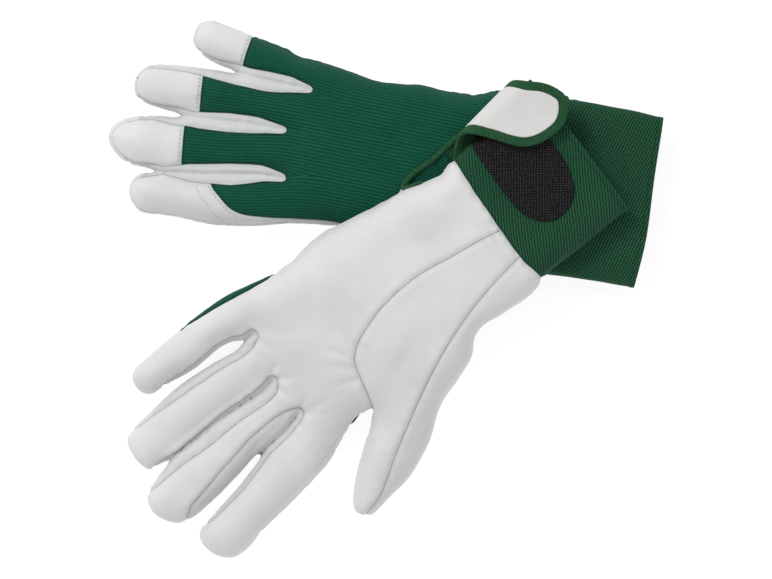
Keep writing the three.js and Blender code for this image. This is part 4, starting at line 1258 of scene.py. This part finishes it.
# ---- Pads, straps and tapes ----
FOLDS = {"left": 7.2, "right": 5.8}  # radius of each strap's fold, at the middle of the strap
STRAP_LINE = {  # where the fold stands out furthest: its start, and the way along it
    "left": (np.array([35.3, 72.7]), np.array([0.6996, 0.7145])),
    "right": (np.array([89.6, 90.5]), np.array([0.980, -0.198])),
}
STRAP_MIDDLE = {"left": 27.9, "right": 7.9}  # height of the fold's axis
STRAP_PATTERN = {  # (distance in from the fold, distance along it)
    "left": [(0, 0), (6.7, 6.6), (12.9, 10.1), (19.4, 13.3), (25.6, 17.6), (29.3, 22.9), (31.6, 30.4),
        (31.7, 38.2), (28.0, 44.9), (22.7, 48.7), (16.2, 48.1), (10.4, 45.6), (4.2, 40.7), (0, 36.0)],
    "right": [(0, 0), (8, 0), (20, 0), (28, 1.5), (34, 6), (37.5, 13), (37.5, 20), (34, 27), (28, 31.5),
        (20, 33), (8, 33), (0, 33)],
}
BINDING_HALF_WIDTH = 2.35
WEB_INSET, FACING_INSET, HOOK_INSET = 3.4, 4.3, 5.0  # how far in from the strap's edge each layer starts
BINDING_HALF, WEB_HALF, FACING_HALF, HOOK_HALF = 1.2, 0.6, 0.42, 0.4  # half of each layer's thickness
FACING_HEIGHT, HOOK_HEIGHT = 0.85, -1.05  # of their middles over the webbing's, away from the glove
ROOT_LENGTH = 6.0  # of each strap past its fold, tucked into the cuff
# Heights over the fold's axis where a strap begins to leave its glove and where it moves wholly on its own.
STRAP_BEND = {"left": (-5.0, 3.0), "right": (5.5, -5.3)}
STRAP_ROOT = {"left": [(-31, 24), (-31, -17)], "right": [(-31, 33), (-31, 0)]}
PATCHES = {
    "left": [(41.5, 69.3), (47.6, 58.2), (56.8, 45.4), (62.9, 38.0), (70.2, 33.1), (78.2, 31.9),
        (84.9, 34.9), (89.9, 44.2), (87.4, 56.4), (83.1, 64.4), (74.0, 76.0), (64.0, 87.0), (52.0, 79.5)],
    "right": [(90.5, 84.5), (87.0, 66.0), (84.6, 50.0), (88.0, 40.5), (97.0, 35.5), (107.0, 35.5),
        (114.5, 41.0), (117.6, 52.0), (120.5, 68.0), (121.6, 79.5)],
}


def closed_outline(points):
    return Outline([(None, [(x, y, 0.0, 0.0) for x, y in points])])


def solid_over(outline, square_of, pitch, bent):
    """A rounded solid over an outline.

    square_of gives the square of its half thickness, from the distance in from the edge and from the place.
    bent takes places in the flat, with heights above the middle, to where they lie.
    """
    grid = Grid(outline.xy.min(0) - 2 * pitch, outline.xy.max(0) + 2 * pitch, pitch)
    plan = grid.points()
    depth, _ = outline.nearest(plan)
    square = square_of(depth, plan).reshape(grid.shape)
    reach = math.sqrt(max(square.max(), 0.0)) + 1.5 * pitch
    z = np.arange(-reach, reach + pitch, pitch)
    points, squares = surface_net(square[:, :, None] - z**2, (*grid.low, -reach), pitch)
    for _ in range(3):
        value, sx, sy = grid.read(square, points[:, :2])
        value = points[:, 2] ** 2 - value
        way = np.stack([-sx, -sy, 2 * points[:, 2]], 1)
        points = points - way * (value / np.maximum((way**2).sum(1), 0.04))[:, None]
    depth, near = outline.nearest(points[:, :2])
    uv = np.column_stack([outline.arc[near], depth])
    return bent(points), squares, uv, points[:, :2]


def fold_strap(side):
    """Takes the flat strap round its fold. In the flat, X is the distance from the fold, and Y along it."""
    start, along = STRAP_LINE[side]
    inward = np.array([along[1], -along[0]])
    turn = 1.0 if side == "left" else -1.0
    middle, fold = STRAP_MIDDLE[side], FOLDS[side]
    half_turn = math.pi * fold

    def bent(points):
        u, f, h = points.T
        angle = np.clip(-u / fold, 0.0, math.pi)
        rise = 0.12 * (np.sqrt(np.maximum(u + 2.0, 0.0) ** 2 + 16.0) - 4.0) * (side == "left")
        rise = rise + 0.25 * np.sin(f / 7.0) * smoothstep(0.0, 12.0, u)
        inside = fold - (fold + h) * np.sin(angle)
        inside = np.where(u > 0, fold + u, inside)
        inside = np.where(u < -half_turn, fold - u - half_turn, inside)
        tucked = 2.4 * smoothstep(-2.0, 5.0, -u - half_turn)
        height = (fold + h) * np.cos(angle) + np.where(u > 0, rise, 0.0) + tucked
        plan = start + inside[:, None] * inward + f[:, None] * along
        return np.column_stack([plan, middle + turn * height])

    return bent


def flat_strap(side):
    """The strap's cut shape in the flat, with the part that goes round the fold at its true length."""
    points, fold = [], FOLDS[side]
    for inside, f in STRAP_PATTERN[side]:
        u = inside - fold if inside >= fold else -fold * math.asin((fold - inside) / fold)
        points.append((u, f))
    return closed_outline(points + STRAP_ROOT[side])


def over_cuff(glove, above):
    """Takes a flat pad onto the palm side of a glove, with its middle that far above the surface."""

    def bent(points):
        square, _, _ = glove.grid.read(glove.square, points[:, :2])
        middle, _, _ = glove.grid.read(glove.middle, points[:, :2])
        height = middle + glove.up * (np.sqrt(np.maximum(square, 0.0)) + above + points[:, 2])
        return np.column_stack([points[:, :2], height])

    return bent


def placed(name, shape, material, body, node, slot, edge_map, bend=None):
    """A finished piece from solid_over, riding on its body, or bending between the glove and the strap.

    Its cloth is mapped along and in from its edge if edge_map is true, and by its place in the flat if not.
    """
    points, squares, edges, flat = shape
    a, b, c = (points[squares[:, k]] for k in range(3))
    volume = (np.cross(b - a, c - a) * (a - points.mean(0))).sum()
    if volume < 0:
        squares = squares[:, ::-1]
    # The distance in from the edge, plus 1.5 mm, goes in as the seam value, so the facing leather takes only a little
    # painted shade at its edge.
    obj = make_object(name, points, squares, material, edges if edge_map else flat, edges[:, 1] + 1.5)
    if bend:
        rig.blend(obj, body.replace("strap", "glove"), body, *bend)
    else:
        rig.ride(obj, body)
    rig.replaces(obj, node)
    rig.slot(obj, slot)
    pieces[name] = obj


def flat_pad(half, depth, edge):
    """The square of the half thickness of a flat pad with rounded edges."""
    return half**2 * (1 - np.exp(-2 * np.maximum(depth, 0) / edge)) + np.minimum(depth, 0)


def strap(side):
    body, bent, outline = f"{side}_strap", fold_strap(side), flat_strap(side)
    under = -math.pi * FOLDS[side]
    root = under - ROOT_LENGTH
    bend = [(0.0, 0.0, (STRAP_MIDDLE[side] + height) * MM) for height in STRAP_BEND[side]]

    def ring(depth, plan):
        from_middle = (depth - BINDING_HALF_WIDTH) / BINDING_HALF_WIDTH
        return np.minimum(BINDING_HALF**2 * (1 - from_middle**4), plan[:, 0] - root)

    def web(depth, plan):
        return np.minimum(flat_pad(WEB_HALF, depth - WEB_INSET, 0.4), 0.6 * (plan[:, 0] - root))

    def facing(depth, plan):
        past_start = 0.4 * (plan[:, 0] - under - 4.0)
        return np.minimum(flat_pad(FACING_HALF, depth - FACING_INSET, 0.8), past_start)

    def hook(depth, plan):
        return np.minimum(flat_pad(HOOK_HALF, depth - HOOK_INSET, 0.5), 0.4 * (plan[:, 0] - 3.0))

    for part, square, material, slot, height, edge_map in (
        ("binding", ring, TAPE, "binding", 0.0, True),
        ("webbing", web, WEB, "elastic", 0.0, False),
        ("leather", facing, FACING, "leather", FACING_HEIGHT, True),
        ("hook", hook, HOOK, "hook_pad", HOOK_HEIGHT, False),
    ):
        name = f"{side}_strap_{part}"
        shape = solid_over(outline, square, FINE_CELL, lambda points: bent(points + [0, 0, height]))
        placed(name + "_piece", shape, material, body, name, slot, edge_map, bend)


PATCH_HALF = 0.55  # half the thickness of a loop patch inside its raised border


def patch(glove):
    outline = closed_outline(PATCHES[glove.side])

    def square(depth, plan):
        place = np.column_stack([plan, np.zeros(len(plan))])
        rough = 0.22 * waves(place, 1.6, 31) + 0.15 * waves(place, 0.9, 32)
        depth = depth + rough * np.exp(-np.abs(depth) / 2.0)
        half = PATCH_HALF + 0.5 * hump((depth - 1.3) / 0.8)
        return np.where(depth > 0, half**2 * (1 - np.exp(-2 * np.maximum(depth, 0) / 0.5)), depth)

    name = f"{glove.side}_loop_patch"
    shape = solid_over(outline, square, FINE_CELL, over_cuff(glove, PATCH_HALF))
    placed(name + "_piece", shape, LOOP, f"{glove.side}_glove", name, "loop_pad", False)


def tube(name, path, half_wide, half_deep, material, sides=12):
    """A rounded tape along a path, with closed ends."""
    tangent = unit_rows(np.gradient(path, axis=0))
    across = unit_rows(np.cross(tangent, [0.0, 0.0, 1.0]))
    lift = np.cross(across, tangent)
    arc = path_arc(path)
    angle = 2 * math.pi * np.arange(sides) / sides
    shape_wide = np.sign(np.cos(angle)) * np.abs(np.cos(angle)) ** 0.8
    shape_deep = np.sign(np.sin(angle)) * np.abs(np.sin(angle)) ** 0.8
    end = np.minimum(1.0, np.sqrt(np.minimum(arc, arc[-1] - arc) / 1.2 + 0.05))
    ribs = 1.0 + 0.05 * np.sin(2 * math.pi * arc / 0.9)
    ring = (
        path[:, None]
        + across[:, None] * (half_wide * shape_wide)[None, :, None] * (end * ribs)[:, None, None]
        + lift[:, None] * (half_deep * shape_deep)[None, :, None] * (end * ribs)[:, None, None]
    )
    count = len(path)
    points = ring.reshape(-1, 3)
    uv = np.stack(np.meshgrid(arc, sides * 0.4 * np.arange(sides) / sides, indexing="ij"), -1).reshape(-1, 2)
    faces = [
        (i * sides + j, i * sides + (j + 1) % sides, (i + 1) * sides + (j + 1) % sides, (i + 1) * sides + j)
        for i in range(count - 1)
        for j in range(sides)
    ]
    faces.append(tuple(range(sides))[::-1])
    faces.append(tuple((count - 1) * sides + j for j in range(sides)))
    faces = [tuple(reversed(f)) for f in faces]
    return make_object(name, points, faces, material, uv)


def even_path(path, step, soften):
    """The path with even steps, smoothed that many times."""
    for _ in range(soften):
        inner = 0.25 * path[:-2] + 0.5 * path[1:-1] + 0.25 * path[2:]
        path = np.vstack([path[:1], inner, path[-1:]])
    arc = path_arc(path)
    at = np.linspace(0.0, arc[-1], max(3, int(arc[-1] / step)))
    return np.column_stack([np.interp(at, arc, path[:, k]) for k in range(3)])


def rim_path(glove, level):
    """The points along a lip of the slit, in order, and how far each is past the wrist."""
    values = glove.values
    used = np.unique(np.concatenate([edges_of(t).ravel() for t in glove.parts.values()]))
    code = glove.outline.names.index(SLIT)
    on = (np.abs(values[level][used]) < 1e-4) & (glove.outline.owner[glove.near[used]] == code)
    used = used[on]
    total = glove.outline.arc[-1]
    arc = (glove.outline.arc[glove.near[used]] + total / 2) % total
    order = np.argsort(arc)
    used, arc = used[order], arc[order]
    bins = np.floor(arc / 1.0).astype(int)
    groups = [used[bins == k] for k in np.unique(bins)]
    path = np.array([glove.points[g].mean(0) for g in groups])
    return path, np.array([values["wrist"][g].mean() for g in groups])


SLIT_END = {"left": (5.5, 45.5), "right": (55.5, 95.5)}
BACK_LIP_LENGTH = {"left": 14.0, "right": 18.0}  # how far past the wrist the tape follows the back's lip
PALM_LIP_LENGTH = {"left": 14, "right": 6}  # about how far the tape runs on under the palm's lip


def slit_binding(glove):
    """The tape round the slit: along the back's lip, round the slit's end, and on under the palm's lip."""
    back, past = rim_path(glove, "back")
    back = back[past < BACK_LIP_LENGTH[glove.side]]
    palm, _ = rim_path(glove, "palm")
    end = SLIT_END[glove.side]
    if np.linalg.norm(back[0, :2] - end) < np.linalg.norm(back[-1, :2] - end):
        back = back[::-1]
    if np.linalg.norm(palm[0, :2] - end) > np.linalg.norm(palm[-1, :2] - end):
        palm = palm[::-1]
    palm = palm[2 : 3 + PALM_LIP_LENGTH[glove.side]]
    path = np.vstack([back[:-2], palm])
    path = path[np.concatenate([[True], np.linalg.norm(np.diff(path, axis=0), axis=1) > 0.3])]
    path = even_path(even_path(path, 2.5, 4), 0.45, 10)
    name = f"{glove.side}_slit_binding"
    obj = tube(name + "_piece", path, 1.5, 1.9, TAPE)
    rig.ride(obj, f"{glove.side}_glove")
    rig.replaces(obj, name)
    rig.slot(obj, "binding")
    pieces[name + "_piece"] = obj


# ---- Stitches ----


ABOVE_ALL = 80.0  # a height above everything, from which a surface is looked for


def stitches(name, glove, rows):
    """Short thread capsules along rows of points on the glove's upper surface, as one piece."""
    pitch, length, radius, clear = 2.0, 1.25, 0.2, 0.02
    verts, faces = [], []
    sides, rings = 6, 5
    for row in rows:
        path = even_path(np.asarray(row, float), 0.25, 1)
        arc = path_arc(path)
        for at in np.arange(pitch / 2, arc[-1] - pitch / 3, pitch):
            centre = np.array([np.interp(at, arc, path[:, k]) for k in range(3)])
            ahead = np.array([np.interp(min(at + 0.5, arc[-1]), arc, path[:, k]) for k in range(3)])
            way = ahead - centre
            if np.linalg.norm(way) < 1e-3:
                continue
            hit = glove.skin.ray_cast(Vector((centre[0], centre[1], ABOVE_ALL)), Vector((0, 0, -1)))
            if hit[0] is None:
                continue
            normal = np.array(hit[1])
            centre = np.array(hit[0]) + normal * clear
            way = way - normal * (way @ normal)
            way /= np.linalg.norm(way)
            side = np.cross(normal, way)
            start = len(verts)
            for i in range(rings):
                t = -1 + 2 * i / (rings - 1)
                thick = radius * math.sqrt(max(1 - abs(t) ** 3, 0.06))
                for j in range(sides):
                    a = 2 * math.pi * j / sides
                    offset = side * math.cos(a) * thick + normal * math.sin(a) * thick * 0.8
                    verts.append(centre + way * t * length / 2 - normal * 0.12 * t * t + offset)
            for i in range(rings - 1):
                for j in range(sides):
                    k = (j + 1) % sides
                    corners = (start + i * sides + j, start + i * sides + k)
                    faces.append((*corners, corners[1] + sides, corners[0] + sides))
            faces.append(tuple(start + j for j in range(sides))[::-1])
            faces.append(tuple(start + (rings - 1) * sides + j for j in range(sides)))
    obj = make_object(name, np.array(verts), faces, GREY_THREAD)
    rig.ride(obj, f"{glove.side}_glove")
    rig.slot(obj, "leather")
    pieces[name] = obj


def shifted_line(line, distance, start, end):
    """A plan line moved to its left by the distance, from nearest the start to nearest the end."""
    curve, _ = smooth_curve(line, False, 1.0)
    way = unit_rows(np.gradient(curve, axis=0))
    curve = curve + distance * np.stack([-way[:, 1], way[:, 0]], 1)
    low, high = sorted(np.argmin(np.linalg.norm(curve - place, axis=1)) for place in (start, end))
    curve = curve[low : high + 1]
    return np.column_stack([curve, np.zeros(len(curve))])


for glove in (left, right):
    glove.skin = BVHTree.FromPolygons(glove.points.tolist(), np.vstack(list(glove.parts.values())).tolist())
    strap(glove.side)
    patch(glove)
    slit_binding(glove)

cap_rows = []
for finger in CAPS:
    spine = np.array(RIGHT_SPINES[finger][-2:], float)
    way = unit(spine[1] - spine[0])
    side = np.array([-way[1], way[0]])
    middle = spine[1] - way * (CAPS[finger] - 1.5)
    ends = [middle + side * s for s in (-9.2, 9.2)]
    cap_rows.append([(*p, 0.0) for p in np.linspace(ends[0], ends[1], 12)])
stitches("right_cap_stitches", right, cap_rows)
guard = RIGHT_LINES["guard"]
guard_rows = [
    shifted_line(guard, -1.5, (-83.0, 50.5), (-44.0, 31.5)),
    shifted_line(guard, -7.0, (-91.0, 50.0), (-72.0, 31.5)),
]
stitches("right_guard_stitches", right, guard_rows)
index_row = [(-17.5, -63.5, 0), (-22, -71.5, 0), (-27.5, -79.5, 0), (-35, -89, 0)]
stitches("left_index_stitches", left, [index_row])

# ---- What each piece was cut to, and what it lies on ----
# The size of its rectangle and its own area, both in metres, and how it is held.
SMALL_SHEETS = {
    "loop_patch": ((0.035, 0.055), 0.0017, "laid"),
    "strap_binding": ((0.01, 0.11), 0.00095, "folded"),
    "strap_webbing": ((0.032, 0.058), 0.0015, "folded"),
    "strap_leather": ((0.026, 0.045), 0.00105, "folded"),
    "strap_hook": ((0.022, 0.026), 0.00045, "laid"),
}
STITCHED_TO = {
    "right_back_knit_piece": "right_cap_stitches",
    "right_index_guard_piece": "right_guard_stitches",
    "left_palm_leather_piece": "left_index_stitches",
}
sheets["left_slit_binding_piece"] = ((0.01, 0.045), 0.00035, "folded")
sheets["right_slit_binding_piece"] = ((0.01, 0.032), 0.0002, "folded")
for side in ("left", "right"):
    for part, (flat, area, held) in SMALL_SHEETS.items():
        sheets[f"{side}_{part}_piece"] = (flat, area, held)
for name, (flat, area, held) in sheets.items():
    side, part = name.split("_")[0], name[: -len("_piece")].split("_", 1)[1]
    if part.startswith("strap") or part == "loop_patch":
        under = f"{side}_cuff_elastic_piece"
    else:
        under = "floor" if side == "right" else "right_back_knit_piece"
    extra = [pieces[STITCHED_TO[name]]] if name in STITCHED_TO else []
    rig.sheet(pieces[name], flat=flat, held=held, rests_on=[under], area=area, with_pieces=extra)

# ---- Floor and light ----
floor_mesh = bpy.data.meshes.new("floor")
floor_mesh.from_pydata([(-3, -3, 0), (3, -3, 0), (3, 3, 0), (-3, 3, 0)], [], [(0, 1, 2, 3)])
floor_look = Look("floor", 0.9, 0.0, 0.5, 0.0)
floor_look.inputs["Base Color"].default_value = (0.25, 0.25, 0.25, 1.0)
floor_look.inputs["Emission Color"].default_value = (1.0, 1.0, 1.0, 1.0)
floor_look.inputs["Emission Strength"].default_value = 0.85
floor_mesh.materials.append(floor_look.material)
floor = bpy.data.objects.new("floor", floor_mesh)
bpy.context.scene.collection.objects.link(floor)
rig.stage(floor)


def area_light(name, place, target, size, power):
    data = bpy.data.lights.new(name, "AREA")
    data.energy = power
    data.shape = "DISK"
    data.size = size
    lamp = bpy.data.objects.new(name, data)
    lamp.location = place
    lamp.rotation_euler = (Vector(target) - Vector(place)).to_track_quat("-Z", "Y").to_euler()
    bpy.context.scene.collection.objects.link(lamp)


area_light("key", (-0.9, 1.1, 1.5), (0, 0, 0), 0.7, 17.0)
world = bpy.data.worlds.new("world")
world.use_nodes = True
world.node_tree.nodes["Background"].inputs["Color"].default_value = (1.0, 1.0, 1.0, 1.0)
world.node_tree.nodes["Background"].inputs["Strength"].default_value = 0.7
bpy.context.scene.world = world
bpy.context.scene.view_settings.view_transform = "Standard"

with open("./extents.json", "w") as file:
    json.dump({"cad": [list(map(float, c)) for c in CAD_BOX], "visual": [list(map(float, c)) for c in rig.bounds()]}, file)
